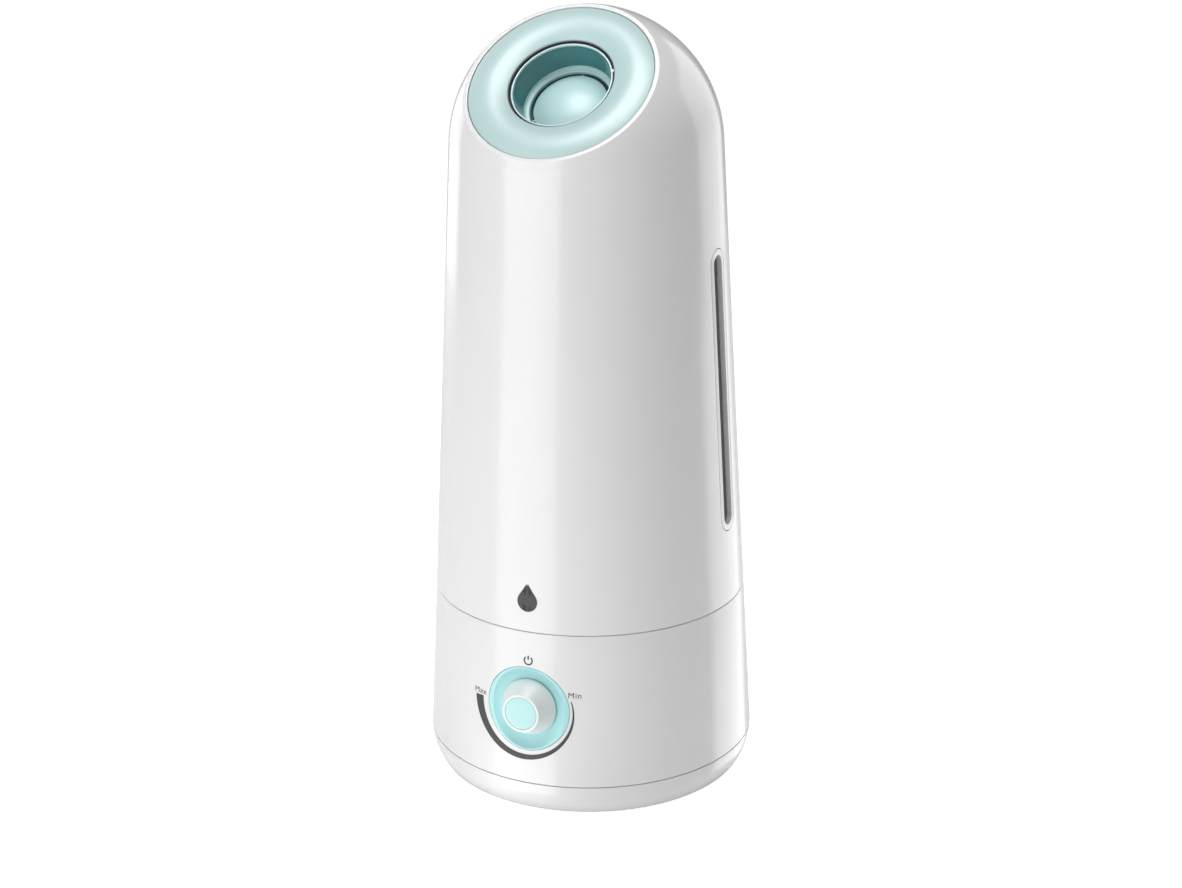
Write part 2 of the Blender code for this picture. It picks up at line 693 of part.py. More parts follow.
# Water tray: basin, well for the ultrasonic disc, air chimney, float post and valve post
def make_tray():
    rim_step_z = rim_bottom_z + TRAY_WALL
    collar_outer = gasket_radius + GAP + COLLAR_WALL
    collar_end = well_z - TRAY_WALL - GAP - 2 * GASKET_WALL - GAP
    profile = [
        (disc_window, well_z),
        (WELL_RADIUS, well_z),
        (WELL_RADIUS + WELL_SLOPE, basin_z),
        (basin_radius - WALL, basin_z),
        (basin_radius, basin_z + WALL),
        (basin_top_radius, shelf_z),
        (tray_inner, shelf_z),
        (tray_inner, rim_step_z),
        (rim_inner, rim_step_z),
        (rim_inner, tank_seam_z - RIM_DROP),
        (rim_radius, tank_seam_z - RIM_DROP),
        (rim_radius, rim_bottom_z),
        (tray_step, rim_bottom_z),
        (tray_step, shelf_z - TRAY_WALL),
        (basin_top_radius + TRAY_WALL, shelf_z - TRAY_WALL),
        (basin_radius + TRAY_WALL, basin_z - TRAY_WALL),
        (WELL_RADIUS + WELL_SLOPE + TRAY_WALL, basin_z - TRAY_WALL),
        (WELL_RADIUS + TRAY_WALL, well_z - TRAY_WALL),
        (collar_outer, well_z - TRAY_WALL),
        (collar_outer, collar_end),
        (gasket_radius + GAP, collar_end),
        (gasket_radius + GAP, well_z - TRAY_WALL),
        (disc_window, well_z - TRAY_WALL),
    ]
    tray = turned("water_tray", profile, tower, WHITE)
    inside = basin_z - TRAY_WALL / 2
    chimney_low = basin_z - TRAY_WALL - CHIMNEY_DROP
    chimney_high = basin_z + CHIMNEY_RISE
    chimney_outer = CHIMNEY_RADIUS + CHIMNEY_WALL

    def chimney(bm):
        add_rod(bm, chimney_outer, chimney_low, chimney_high, sides=MEDIUM)

    fuse(tray, shape("tray_chimney", chimney, blower))
    bore = [(0.0, 0.0)]
    bore_low = chimney_low - WALL
    bore_high = chimney_high + WALL
    cut(tray, rods("tray_chimney_bore", blower, CHIMNEY_RADIUS, bore_low, bore_high, bore))
    post_top = basin_z + GAP + FLOAT_HEIGHT + FLOAT_TRAVEL + 3 * GAP
    post = [
        (0.0, post_top + POST_THIN),
        (POST_THIN * 1.5, post_top + POST_THIN),
        (POST_THIN * 1.5, post_top),
        (POST_THIN, post_top),
        (POST_THIN, inside),
        (0.0, inside),
    ]
    fuse(tray, turned("tray_float_post", post, bobber, None, TINY))
    fuse(tray, rods("tray_valve_post", filler, POST_THIN * 1.5, inside, stem_z - POST_GAP, bore, TINY))

    seal = ring_profile(ledge_radius + GAP, rim_radius, ledge_z + GAP, ledge_z + GAP + SEAL_HEIGHT)
    turned("tray_seal", seal, tower, SILICONE)

    gasket_top = well_z - TRAY_WALL - GAP
    groove_top = gasket_top - GASKET_WALL / 3
    groove_low = groove_top - DISC_THICKNESS - 2 * GAP
    gasket_low = groove_low - GASKET_WALL / 3
    gasket = [
        (disc_window + GAP, gasket_top),
        (gasket_radius, gasket_top),
        (gasket_radius, gasket_low),
        (disc_window + GAP, gasket_low),
        (disc_window + GAP, groove_low),
        (DISC_RADIUS + GAP, groove_low),
        (DISC_RADIUS + GAP, groove_top),
        (disc_window + GAP, groove_top),
    ]
    turned("transducer_gasket", gasket, tower, SILICONE, MEDIUM)
    disc = [
        (0.0, groove_top - GAP),
        (DISC_RADIUS, groove_top - GAP),
        (DISC_RADIUS, groove_low + GAP),
        (0.0, groove_low + GAP),
    ]
    turned("transducer_disc", disc, tower, CERAMIC, MEDIUM)
    clamp_top = gasket_low - GAP
    plate_top = collar_end - GAP
    clamp = [
        (disc_window, clamp_top),
        (gasket_radius, clamp_top),
        (gasket_radius, plate_top),
        (collar_outer, plate_top),
        (collar_outer, plate_top - CLAMP_PLATE),
        (disc_window, plate_top - CLAMP_PLATE),
    ]
    turned("transducer_clamp", clamp, tower, STEEL, MEDIUM)

    def sensor(bm):
        high = basin_z - TRAY_WALL - GAP
        add_block(bm, (-FLOAT_RADIUS / 2, -POST_THIN, high - POST_THIN), (FLOAT_RADIUS / 2, POST_THIN, high))

    shape("float_sensor", sensor, bobber, BLACK)


def make_float():
    low = basin_z + GAP
    high = low + FLOAT_HEIGHT
    bore = POST_THIN + FLOAT_RUNNING
    groove = bore + POST_THIN
    groove_end = groove + MAGNET_WIDTH + 2 * GAP
    profile = [
        (bore, high),
        (FLOAT_RADIUS - 3 * GAP, high),
        (FLOAT_RADIUS, high - 3 * GAP),
        (FLOAT_RADIUS, low),
        (groove_end, low),
        (groove_end, low + MAGNET_HEIGHT + 2 * GAP),
        (groove, low + MAGNET_HEIGHT + 2 * GAP),
        (groove, low),
        (bore, low),
    ]
    turned("float", profile, bobber, SILICONE, SMALL)
    magnet = ring_profile(groove + GAP, groove_end - GAP, low + GAP, low + GAP + MAGNET_HEIGHT)
    turned("float_magnet", magnet, bobber, BLACK, SMALL)


# Fan: square frame with struts, stator, and the impeller on its pin
def make_fan():
    top = fan_z + FAN_HEIGHT
    strut = POST_THIN

    def body(bm):
        verts = add_block(bm, (-FAN_HALF, -FAN_HALF, fan_z), (FAN_HALF, FAN_HALF, top))
        upright_edges = []
        for edge in bm.edges:
            a, b = edge.verts
            if abs(a.co.z - b.co.z) > FAN_HEIGHT / 2 and a in verts:
                upright_edges.append(edge)
        bmesh.ops.bevel(bm, geom=upright_edges, offset=WALL, segments=2, profile=0.5, affect="EDGES")

    frame = shape("fan_frame", body, blower, BLACK)
    centre = [(0.0, 0.0)]
    cut(frame, rods("fan_bore", blower, FAN_BORE, fan_z - WALL, top + WALL, centre, MEDIUM))
    fuse(frame, rods("fan_hub", blower, STATOR_RADIUS, fan_z, fan_z + strut, centre))

    def arms(bm):
        for i in range(3):
            turn = Matrix.Rotation(2 * math.pi * i / 3 + math.pi / 6, 4, "Z")
            low = (STATOR_RADIUS * 0.7, -strut, fan_z)
            high = (FAN_BORE + POST_THIN / 4, strut, fan_z + strut * 0.9)
            add_block(bm, low, high, turn)

    fuse(frame, shape("fan_arms", arms, blower))

    stator_low = fan_z + strut + GAP
    hub_top = top - 4 * GAP
    hub_roof = hub_top - HUB_WALL
    stator_high = hub_roof - 2 * GAP
    stator = ring_profile(FAN_PIN + GAP, STATOR_RADIUS, stator_low, stator_high)
    turned("fan_stator", stator, blower, COPPER, SMALL)
    hub = [
        (0.0, hub_top),
        (HUB_RADIUS, hub_top),
        (HUB_RADIUS, stator_low + 2 * GAP),
        (HUB_RADIUS - HUB_WALL, stator_low + 2 * GAP),
        (HUB_RADIUS - HUB_WALL, hub_roof),
        (FAN_PIN, hub_roof),
        (FAN_PIN, stator_low + GAP),
        (0.0, stator_low + GAP),
    ]
    impeller = turned("impeller", hub, blower, WHITE, SMALL)

    def blades(bm):
        middle = Matrix.Translation((0.0, 0.0, (stator_low + hub_top) / 2))
        for i in range(BLADES):
            turn = Matrix.Rotation(2 * math.pi * i / BLADES, 4, "Z") @ middle
            turn = turn @ Matrix.Rotation(BLADE_PITCH, 4, "X")
            low = (HUB_RADIUS - HUB_WALL * 0.7, -BLADE_WIDTH / 2, -BLADE_THICK / 2)
            high = (FAN_BORE - POST_THIN * 0.7, BLADE_WIDTH / 2, BLADE_THICK / 2)
            add_block(bm, low, high, turn)

    fuse(impeller, shape("impeller_blades", blades, blower))

    duct_low = top + GAP
    chimney_end = basin_z - TRAY_WALL - CHIMNEY_DROP
    inner_top = CHIMNEY_RADIUS + CHIMNEY_WALL + GAP
    inner_low = FAN_BORE - POST_THIN
    flare_low = duct_low + FAN_HEIGHT / 2
    flare_high = chimney_end - FAN_HEIGHT / 2
    duct_top = chimney_end + DUCT_LAP
    duct = [
        (inner_top, duct_top),
        (inner_top + DUCT_WALL, duct_top),
        (inner_top + DUCT_WALL, flare_high),
        (inner_low + DUCT_WALL, flare_low),
        (inner_low + DUCT_WALL, duct_low),
        (inner_low, duct_low),
        (inner_low, flare_low),
        (inner_top, flare_high),
    ]
    turned("air_duct", duct, blower, WHITE, MEDIUM)


# Driver board with its larger parts
def make_board():
    half_l = BOARD_LENGTH / 2
    half_w = BOARD_WIDTH / 2
    top = board_z + BOARD_THICK

    def board(bm):
        add_block(bm, (board_x - half_l, -half_w, board_z), (board_x + half_l, half_w, top))

    shape("driver_board", board, tower, GREEN)
    seat = top + GAP
    sink_x = board_x - half_l * 0.3
    sink_length = BOARD_LENGTH * 0.45
    sink_width = BOARD_WIDTH * 0.5

    def sink(bm):
        low = (sink_x - sink_length / 2, -sink_width / 2, seat)
        high = (sink_x + sink_length / 2, sink_width / 2, seat + SINK_BASE)
        add_block(bm, low, high)

    def sink_fins(bm):
        pitch = sink_length / SINK_FINS
        for i in range(SINK_FINS):
            x = sink_x - sink_length / 2 + pitch * (i + 0.5)
            low = (x - pitch / 6, -sink_width / 2 + GAP, seat + SINK_BASE / 2)
            high = (x + pitch / 6, sink_width / 2 - GAP, seat + SINK_BASE + FIN_HEIGHT)
            add_block(bm, low, high)

    heat_sink = shape("heat_sink", sink, tower, ALUMINIUM)
    fuse(heat_sink, shape("heat_sink_fins", sink_fins, tower))

    can_spot = upright(board_x + half_l * 0.6, half_w * 0.5)
    can = [
        (0.0, seat + CAN_HEIGHT),
        (CAN_RADIUS - GAP, seat + CAN_HEIGHT),
        (CAN_RADIUS, seat + CAN_HEIGHT - GAP),
        (CAN_RADIUS, seat),
        (0.0, seat),
    ]
    turned("capacitor", can, guide("capacitor_axis", can_spot), BLACK, SMALL)

    coil_spot = Vector((board_x + half_l * 0.6, -half_w * 0.4))

    def core(bm):
        low = (coil_spot.x - COIL_HALF, coil_spot.y - COIL_HALF, seat)
        high = (coil_spot.x + COIL_HALF, coil_spot.y + COIL_HALF, seat + COIL_HEIGHT)
        verts = add_block(bm, low, high)
        edges = [edge for edge in bm.edges if edge.verts[0] in verts]
        bmesh.ops.bevel(bm, geom=edges, offset=POST_THIN / 2, segments=1, affect="EDGES")

    shape("transformer", core, tower, COPPER)


# Tank shell: tapered wall and dome, cut by the slanted face and opened for the window
def make_tank_shell():
    bottom = tank_seam_z + SEAM / 2

    def dome(radius):
        arc = []
        for i in range(1, DOME_STEPS + 1):
            a = math.pi / 2 + (slope - math.pi / 2) * i / DOME_STEPS
            arc.append((radius * math.cos(a), dome_z + radius * math.sin(a)))
        return arc

    profile = [
        (0.0, dome_z + dome_radius),
        *dome(dome_radius),
        (skin(bottom), bottom),
        (inner_skin(bottom), bottom),
        *reversed(dome(dome_inner)),
        (0.0, dome_z + dome_inner),
    ]
    shell = turned("tank_shell", profile, tower, WHITE)

    def slice_off(bm):
        add_block(bm, (-BASE_RADIUS, -BASE_RADIUS, face_h), (BASE_RADIUS, BASE_RADIUS, BASE_RADIUS * 2))

    cut(shell, shape("tank_face_cut", slice_off, head))

    def ring_seat(bm):
        add_rod(bm, ring_radius + RING_LINE, face_h - RING_DEPTH, face_h + WALL, sides=LARGE)

    cut(shell, shape("tank_ring_seat", ring_seat, head))
    cut(shell, capsule("tank_window_opening", WINDOW_HALF + GAP, WINDOW_LENGTH + 2 * GAP))


def capsule(name, half, length):
    # A block through the wall at the window, its ends rounded to half circles
    reach = BASE_RADIUS / 4

    def build(bm):
        add_block(bm, (-reach, -half, -length / 2), (reach, half, length / 2))
        across = []
        for edge in bm.edges:
            a, b = edge.verts
            if abs(a.co.x - b.co.x) > reach:
                across.append(edge)
        rounding = half * ROUND_SHARE
        bmesh.ops.bevel(
            bm, geom=across, offset=rounding, segments=CAPSULE_STEPS, profile=0.5, affect="EDGES"
        )

    return shape(name, build, window)


def shell_band(outer_depth, inner_depth):
    # The tank's wall between two depths below its skin, over the window's height
    low = tank_seam_z + WINDOW_RISE - WINDOW_HALF
    high = tank_seam_z + WINDOW_RISE + WINDOW_LENGTH + WINDOW_HALF
    return [
        (skin(high) - outer_depth, high),
        (skin(low) - outer_depth, low),
        (skin(low) - inner_depth, low),
        (skin(high) - inner_depth, high),
    ]


def make_window():
    bezel = turned("window_bezel", shell_band(0.0, BEZEL_DEPTH), tower, WHITE)
    keep(bezel, capsule("bezel_outline", WINDOW_HALF, WINDOW_LENGTH))
    opening = WINDOW_HALF - BEZEL_WIDTH
    length = WINDOW_LENGTH - 2 * BEZEL_WIDTH
    cut(bezel, capsule("bezel_opening", opening, length))
    lens = turned("window_lens", shell_band(LENS_RECESS, LENS_RECESS + LENS_THICK), tower, SMOKED)
    keep(lens, capsule("lens_outline", opening - GAP, length - 2 * GAP))


# Tank floor: the plate that closes the tank, its skirt, the duct's collar and the filler neck
def make_tank_floor():
    top = tank_floor_z + TANK_FLOOR
    hole = duct_outer + GAP
    profile = [
        (hole, top),
        (inner_skin(top) - GAP, top),
        (inner_skin(top) - GAP, tank_floor_z),
        (skirt_radius, tank_floor_z),
        (skirt_radius, shelf_z + GAP),
        (skirt_inner, shelf_z + GAP),
        (skirt_inner, tank_floor_z),
        (duct_collar, tank_floor_z),
        (duct_collar, tank_floor_z - 2 * WALL),
        (hole, tank_floor_z - 2 * WALL),
    ]
    floor = turned("tank_floor", profile, tower, WHITE)
    centre = [(0.0, 0.0)]
    fuse(floor, rods("floor_neck", filler, neck_radius, neck_z, top - WALL / 2, centre, MEDIUM))
    bore = neck_radius - NECK_WALL
    cut(floor, rods("floor_neck_bore", filler, bore, neck_z - WALL, top + WALL, centre, MEDIUM))


# Mist duct: a tube up the tower's axis that bends over into the nozzle's socket
def make_duct():
    low = tank_seam_z - DUCT_DIP
    reach = socket_end_h - SOCKET_WALL - GAP
    arm = reach - WALL
    bend = arm / math.tan(FACE_TILT / 2)
    start = dome_z - arm
    points = [Vector((0.0, 0.0, low))]
    for i in range(BEND_STEPS + 1):
        a = FACE_TILT * i / BEND_STEPS
        points.append(Vector((0.0, -bend * (1 - math.cos(a)), start + bend * math.sin(a))))
    points.append(Vector((0.0, -reach * math.sin(FACE_TILT), dome_z + reach * math.cos(FACE_TILT))))
    curve = bpy.data.curves.new("mist_duct", "CURVE")
    curve.dimensions = "3D"
    spline = curve.splines.new("POLY")
    spline.points.add(len(points) - 1)
    for point, place_at in zip(spline.points, points):
        point.co = (*place_at, 1.0)
    curve.bevel_depth = duct_outer
    curve.bevel_resolution = 8
    curve.materials.append(finish("mist_duct", *WHITE))
    duct = bpy.data.objects.new("mist_duct", curve)
    parts.objects.link(duct)
    duct.parent = tower
    shell = duct.modifiers.new("wall", "SOLIDIFY")
    shell.thickness = DUCT_SHELL
    shell.offset = -1.0


# Tank cap with its gasket, and the valve that the tray's post pushes open
def make_cap():
    bore = cap_radius - CAP_SKIN
    guide_hole = STEM_RADIUS + GAP
    plate_low = cap_plate_z - CAP_PLATE
    profile = [
        (guide_hole, cap_plate_z),
        (bore, cap_plate_z),
        (bore, plate_low + CAP_HEIGHT),
        (cap_radius, plate_low + CAP_HEIGHT),
        (cap_radius, plate_low + 3 * GAP),
        (cap_radius - 3 * GAP, plate_low),
        (guide_hole, plate_low),
    ]
    cap = turned("tank_cap", profile, filler, WHITE, MEDIUM)
    water_circle = (SPRING_RADIUS + STEM_FLANGE) / 2 - GAP
    water_holes = around(water_circle, [math.radians(90 * i) for i in range(4)])
    hole = (STEM_FLANGE - SPRING_RADIUS) / 4
    cut(cap, rods("cap_water_holes", filler, hole, plate_low - WALL, cap_plate_z + WALL, water_holes, TINY))

    gasket = ring_profile(neck_radius - NECK_WALL, neck_radius, cap_plate_z + GAP, neck_z - GAP)
    turned("cap_gasket", gasket, filler, SILICONE, MEDIUM)
    washer_low = cap_plate_z + GAP
    washer_high = washer_low + CAP_GASKET
    washer = ring_profile(guide_hole, STEM_FLANGE - GAP, washer_low, washer_high)
    turned("valve_washer", washer, filler, SILICONE, SMALL)
    flange_low = washer_high + GAP
    stem = [
        (0.0, flange_low + STEM_RADIUS),
        (STEM_FLANGE - STEM_RADIUS, flange_low + STEM_RADIUS),
        (STEM_FLANGE, flange_low + STEM_RADIUS / 2),
        (STEM_FLANGE, flange_low),
        (STEM_RADIUS, flange_low),
        (STEM_RADIUS, stem_z + STEM_RADIUS),
        (STEM_BUTTON, stem_z + STEM_RADIUS),
        (STEM_BUTTON, stem_z),
        (0.0, stem_z),
    ]
    turned("valve_stem", stem, filler, WHITE, SMALL)

    low = stem_z + STEM_RADIUS + GAP + SPRING_WIRE
    high = plate_low - GAP - SPRING_WIRE
    count = int(SPRING_TURNS * SPRING_STEPS) + 1
    curve = bpy.data.curves.new("valve_spring", "CURVE")
    curve.dimensions = "3D"
    spline = curve.splines.new("POLY")
    spline.points.add(count - 1)
    for i, point in enumerate(spline.points):
        s = i / (count - 1)
        a = 2 * math.pi * SPRING_TURNS * s
        point.co = (SPRING_RADIUS * math.cos(a), SPRING_RADIUS * math.sin(a), low + (high - low) * s, 1.0)
    curve.bevel_depth = SPRING_WIRE
    curve.bevel_resolution = 2
    curve.use_fill_caps = True
    curve.materials.append(finish("valve_spring", *STEEL))
    spring = bpy.data.objects.new("valve_spring", curve)
    parts.objects.link(spring)
    spring.parent = filler


# Top plate under the slanted face, with the nozzle's socket
def make_top_plate():
    def edge(h):
        return math.sqrt(dome_inner ** 2 - h ** 2) - flat_depth - DOME_FIT

    low = plate_h - PLATE_THICK
    outer = socket_radius + SOCKET_WALL
    profile = [
        (socket_radius, plate_h),
        (edge(plate_h), plate_h),
        (edge(low), low),
        (outer, low),
        (outer, socket_end_h - SOCKET_WALL),
        (DUCT_RADIUS, socket_end_h - SOCKET_WALL),
        (DUCT_RADIUS, socket_end_h),
        (socket_radius, socket_end_h),
    ]
    turned("top_plate", profile, head, WHITE)


# Mint ring: a softly crowned ring inside the white rim
def make_ring():
    chord = Vector((ring_inner - ring_radius, RING_EDGE_DROP - RING_INNER_DROP))
    normal = Vector((-chord.y, chord.x)).normalized()
    if normal.y < 0:
        normal = -normal
    crown = []
    for i in range(CROWN_STEPS + 1):
        s = i / CROWN_STEPS
        rise = RING_CROWN * 4 * s * (1 - s)
        r = ring_radius + chord.x * s + normal.x * rise
        h = face_h - RING_EDGE_DROP + chord.y * s + normal.y * rise
        crown.append((r, h))
    bottom = face_h - RING_DEPTH
    profile = [*reversed(crown), (ring_radius, bottom), (ring_inner, bottom)]
    turned("top_ring", profile, head, MINT)


# Nozzle: seal, cup and the mist dome that stands on three fins in the cup
def make_nozzle():
    flange_low = plate_h + GAP
    seal_low = cup_end_h + SEAL_FROM_END
    seal_high = seal_low + SEAL_WIDTH
    groove = cup_outer - SEAL_DEEP - GAP
    lip_inner = NOZZLE_RADIUS - NOZZLE_LIP
    cup = [
        (lip_inner, lip_h - GAP),
        (lip_inner + NOZZLE_LIP / 3, lip_h),
        (NOZZLE_RADIUS - NOZZLE_LIP / 3, lip_h),
        (NOZZLE_RADIUS, lip_h - GAP),
        (NOZZLE_RADIUS, flange_low),
        (cup_outer, flange_low),
        (cup_outer, seal_high + GAP),
        (groove, seal_high + GAP),
        (groove, seal_low - GAP),
        (cup_outer, seal_low - GAP),
        (cup_outer, cup_end_h),
        (spigot_bore, cup_end_h),
        (spigot_bore, ledge_h),
        (cup_low, ledge_h),
        (cup_low + CUP_TAPER * 0.1, ledge_h + CUP_LEDGE),
    ]
    turned("nozzle_cup", cup, head, MINT, LARGE)
    seal = ring_profile(groove + GAP, cup_outer + SOCKET_CLEARANCE - GAP / 2, seal_low, seal_high)
    turned("nozzle_seal", seal, head, SILICONE, LARGE)

    base = ledge_h - MIST_SKIRT
    sphere = (mist_radius ** 2 + MIST_CROWN ** 2) / (2 * MIST_CROWN)
    dome = [(0.0, base + MIST_CROWN)]
    for i in range(1, MIST_STEPS + 1):
        r = mist_radius * i / MIST_STEPS
        dome.append((r, base + MIST_CROWN - sphere + math.sqrt(sphere ** 2 - r ** 2)))
    dome.append((mist_radius, base - MIST_THICK))
    dome.append((0.0, base - MIST_THICK))
    body = turned("mist_dome", dome, head, MINT, MEDIUM)

    def fins(bm):
        for i in range(3):
            turn = Matrix.Rotation(2 * math.pi * i / 3 + math.pi / 2, 4, "Z")
            low = (mist_radius * 0.4, -FIN_THICK / 2, base - FIN_DEEP)
            high = (spigot_bore - 2 * GAP, FIN_THICK / 2, base - MIST_THICK / 2)
            add_block(bm, low, high, turn)

    fuse(body, shape("mist_dome_fins", fins, head))


make_pan()
make_feet_and_screws()
make_base_shell()
make_dish()
make_knob()
make_inlet()
make_tray()
make_float()
make_fan()
make_board()
make_tank_shell()
make_window()
make_tank_floor()
make_duct()
make_cap()
make_top_plate()
make_ring()
make_nozzle()
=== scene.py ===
import json
import math

import bpy
from mathutils import Matrix, Vector


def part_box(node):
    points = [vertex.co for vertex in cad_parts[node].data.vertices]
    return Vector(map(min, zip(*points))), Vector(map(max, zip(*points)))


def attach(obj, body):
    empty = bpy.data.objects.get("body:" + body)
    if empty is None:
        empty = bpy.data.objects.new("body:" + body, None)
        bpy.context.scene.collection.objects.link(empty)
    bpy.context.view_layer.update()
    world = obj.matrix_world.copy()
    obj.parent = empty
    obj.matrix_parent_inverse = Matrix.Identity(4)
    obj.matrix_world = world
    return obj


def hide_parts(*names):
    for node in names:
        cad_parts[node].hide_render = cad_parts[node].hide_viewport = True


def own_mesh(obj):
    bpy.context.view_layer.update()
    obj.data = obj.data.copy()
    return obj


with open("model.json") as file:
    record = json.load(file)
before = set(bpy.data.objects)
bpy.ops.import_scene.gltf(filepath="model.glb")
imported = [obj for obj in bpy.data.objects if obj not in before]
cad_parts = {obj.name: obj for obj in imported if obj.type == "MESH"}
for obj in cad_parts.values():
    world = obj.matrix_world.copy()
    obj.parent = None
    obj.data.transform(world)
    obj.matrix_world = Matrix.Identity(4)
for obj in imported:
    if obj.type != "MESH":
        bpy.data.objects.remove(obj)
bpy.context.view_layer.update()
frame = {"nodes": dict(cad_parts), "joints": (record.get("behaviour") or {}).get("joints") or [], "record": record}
nodes = frame["nodes"]
joints = {joint["name"]: joint for joint in frame["joints"]}

hairline = 0.0003    # open line between neighbouring mouldings
fullTurn = 2 * math.pi


# where things are, from the frame

def axisMatrix(origin, outward):
    # upright frame on an axis: x to the right, z along the axis
    z = Vector(outward).normalized()
    x = Vector((1.0, 0.0, 0.0))
    y = z.cross(x)
    turn = Matrix((x, y, z)).transposed().to_4x4()
    return Matrix.Translation(Vector(origin)) @ turn


def spanAround(name, matrix):
    inverse = matrix.inverted()
    spots = [inverse @ vertex.co for vertex in nodes[name].data.vertices]
    reach = [math.hypot(spot.x, spot.y) for spot in spots]
    heights = [spot.z for spot in spots]
    return {"low": min(heights), "high": max(heights), "inner": min(reach), "outer": max(reach)}


baseLow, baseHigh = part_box("base_shell")
tankLow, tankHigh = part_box("tank_shell")
taper = (baseHigh.x - tankHigh.x) / (tankLow.z - baseLow.z)
lean = math.atan(taper)


def skinAt(z):
    return baseHigh.x - taper * (z - baseLow.z)


headSpot = Vector(joints["nozzle_turn"]["pos_m"])
headMatrix = axisMatrix(headSpot, joints["nozzle_turn"]["axis"])
dialSpot = Vector(joints["knob_turn"]["pos_m"])
dialMatrix = axisMatrix(dialSpot, -Vector(joints["knob_turn"]["axis"]))
domeRadius = skinAt(headSpot.z) * math.cos(lean)
ringSpan = spanAround("top_ring", headMatrix)
cupSpan = spanAround("nozzle_cup", headMatrix)
mistSpan = spanAround("mist_dome", headMatrix)
shellSpan = spanAround("tank_shell", headMatrix)
plateSpan = spanAround("top_plate", headMatrix)
sealSpan = spanAround("nozzle_seal", headMatrix)
dishSpan = spanAround("knob_dish", dialMatrix)
knobSpan = spanAround("knob", dialMatrix)
capSpan = spanAround("knob_cap", dialMatrix)


# camera, floor and light

viewFrom = {
    "distance": 1.2126,      # from the tower's axis, along the floor
    "height": 0.6105,
    "around": 22.9,          # degrees from the front towards the window
    "down": 18.66,
    "yaw": 0.057,
    "roll": -0.458,
    "lens": 64.38,
}


def addCamera():
    around = math.radians(viewFrom["around"])
    data = bpy.data.cameras.new("viewCamera")
    data.lens = viewFrom["lens"]
    data.sensor_width = 36.0
    data.clip_end = 50.0
    camera = bpy.data.objects.new("viewCamera", data)
    bpy.context.scene.collection.objects.link(camera)
    spot = Matrix.Translation(
        (
            viewFrom["distance"] * math.sin(around),
            -viewFrom["distance"] * math.cos(around),
            viewFrom["height"],
        )
    )
    aim = Matrix.Rotation(around - math.radians(viewFrom["yaw"]), 4, "Z")
    tilt = Matrix.Rotation(math.radians(90 - viewFrom["down"]), 4, "X")
    roll = Matrix.Rotation(math.radians(viewFrom["roll"]), 4, "Z")
    camera.matrix_world = spot @ aim @ tilt @ roll
    bpy.context.scene.camera = camera


studio = {
    "floorSize": 14.0,
    "floorGlow": 0.15,
    "floorSeen": 0.79,
    "skyGrey": 0.27,
    # name: degrees round from the camera (left is negative), distance, height, width, tall, watts
    "boxes": {
        "keyBox": (-45, 1.7, 0.50, 1.52, 1.9, 14.2),
        "leftEdgeBox": (-142, 1.4, 0.45, 0.80, 1.5, 4.0),
        "rightEdgeBox": (126, 1.5, 0.45, 1.30, 1.5, 6.0),
    },
    # height, side and watts
    "topBox": (1.30, 0.62, 7.0),
    "skySeen": 1.05,
    # white sheets lying on the floor: the part of the wall that mirrors each, in degrees, and its brightness
    "sheets": {"leftSheet": (-36, -13, 1.25), "rightSheet": (50, 74, 1.1)},
    "sheetNear": 0.012,
    "sheetFar": 1.5,
}


def addStudio():
    clearPick()
    bpy.ops.mesh.primitive_plane_add(size=studio["floorSize"], location=(0.0, 0.0, 0.0))
    floor = bpy.context.object
    floor.name = "studioFloor"
    floor.data.materials.append(floorPaint())
    for name, (turn, away, high, wide, tall, watts) in studio["boxes"].items():
        angle = math.radians(viewFrom["around"] + turn)
        spot = Vector((away * math.sin(angle), -away * math.cos(angle), high))
        addSoftbox(name, spot, Vector((0.0, 0.0, 0.24)), wide, tall, watts)
    for name, (first, last, bright) in studio["sheets"].items():
        addSheet(name, first, last, bright)
    height, size, watts = studio["topBox"]
    addSoftbox("topBox", Vector((0.0, -0.25, height)), Vector((0.0, 0.0, 0.3)), size, size, watts)
    world = bpy.data.worlds.new("studioWorld")
    bpy.context.scene.world = world
    world.use_nodes = True
    tree = world.node_tree
    sky = tree.nodes["Background"]
    sky.inputs["Color"].default_value = (1.0, 1.0, 1.0, 1.0)
    sky.inputs["Strength"].default_value = studio["skyGrey"]
    seen = tree.nodes.new("ShaderNodeBackground")
    seen.inputs["Strength"].default_value = studio["skySeen"]
    path = tree.nodes.new("ShaderNodeLightPath")
    mix = tree.nodes.new("ShaderNodeMixShader")
    tree.links.new(path.outputs["Is Camera Ray"], mix.inputs["Fac"])
    tree.links.new(sky.outputs["Background"], mix.inputs[1])
    tree.links.new(seen.outputs["Background"], mix.inputs[2])
    tree.links.new(mix.outputs["Shader"], tree.nodes["World Output"].inputs["Surface"])
    bpy.context.scene.view_settings.view_transform = "Standard"


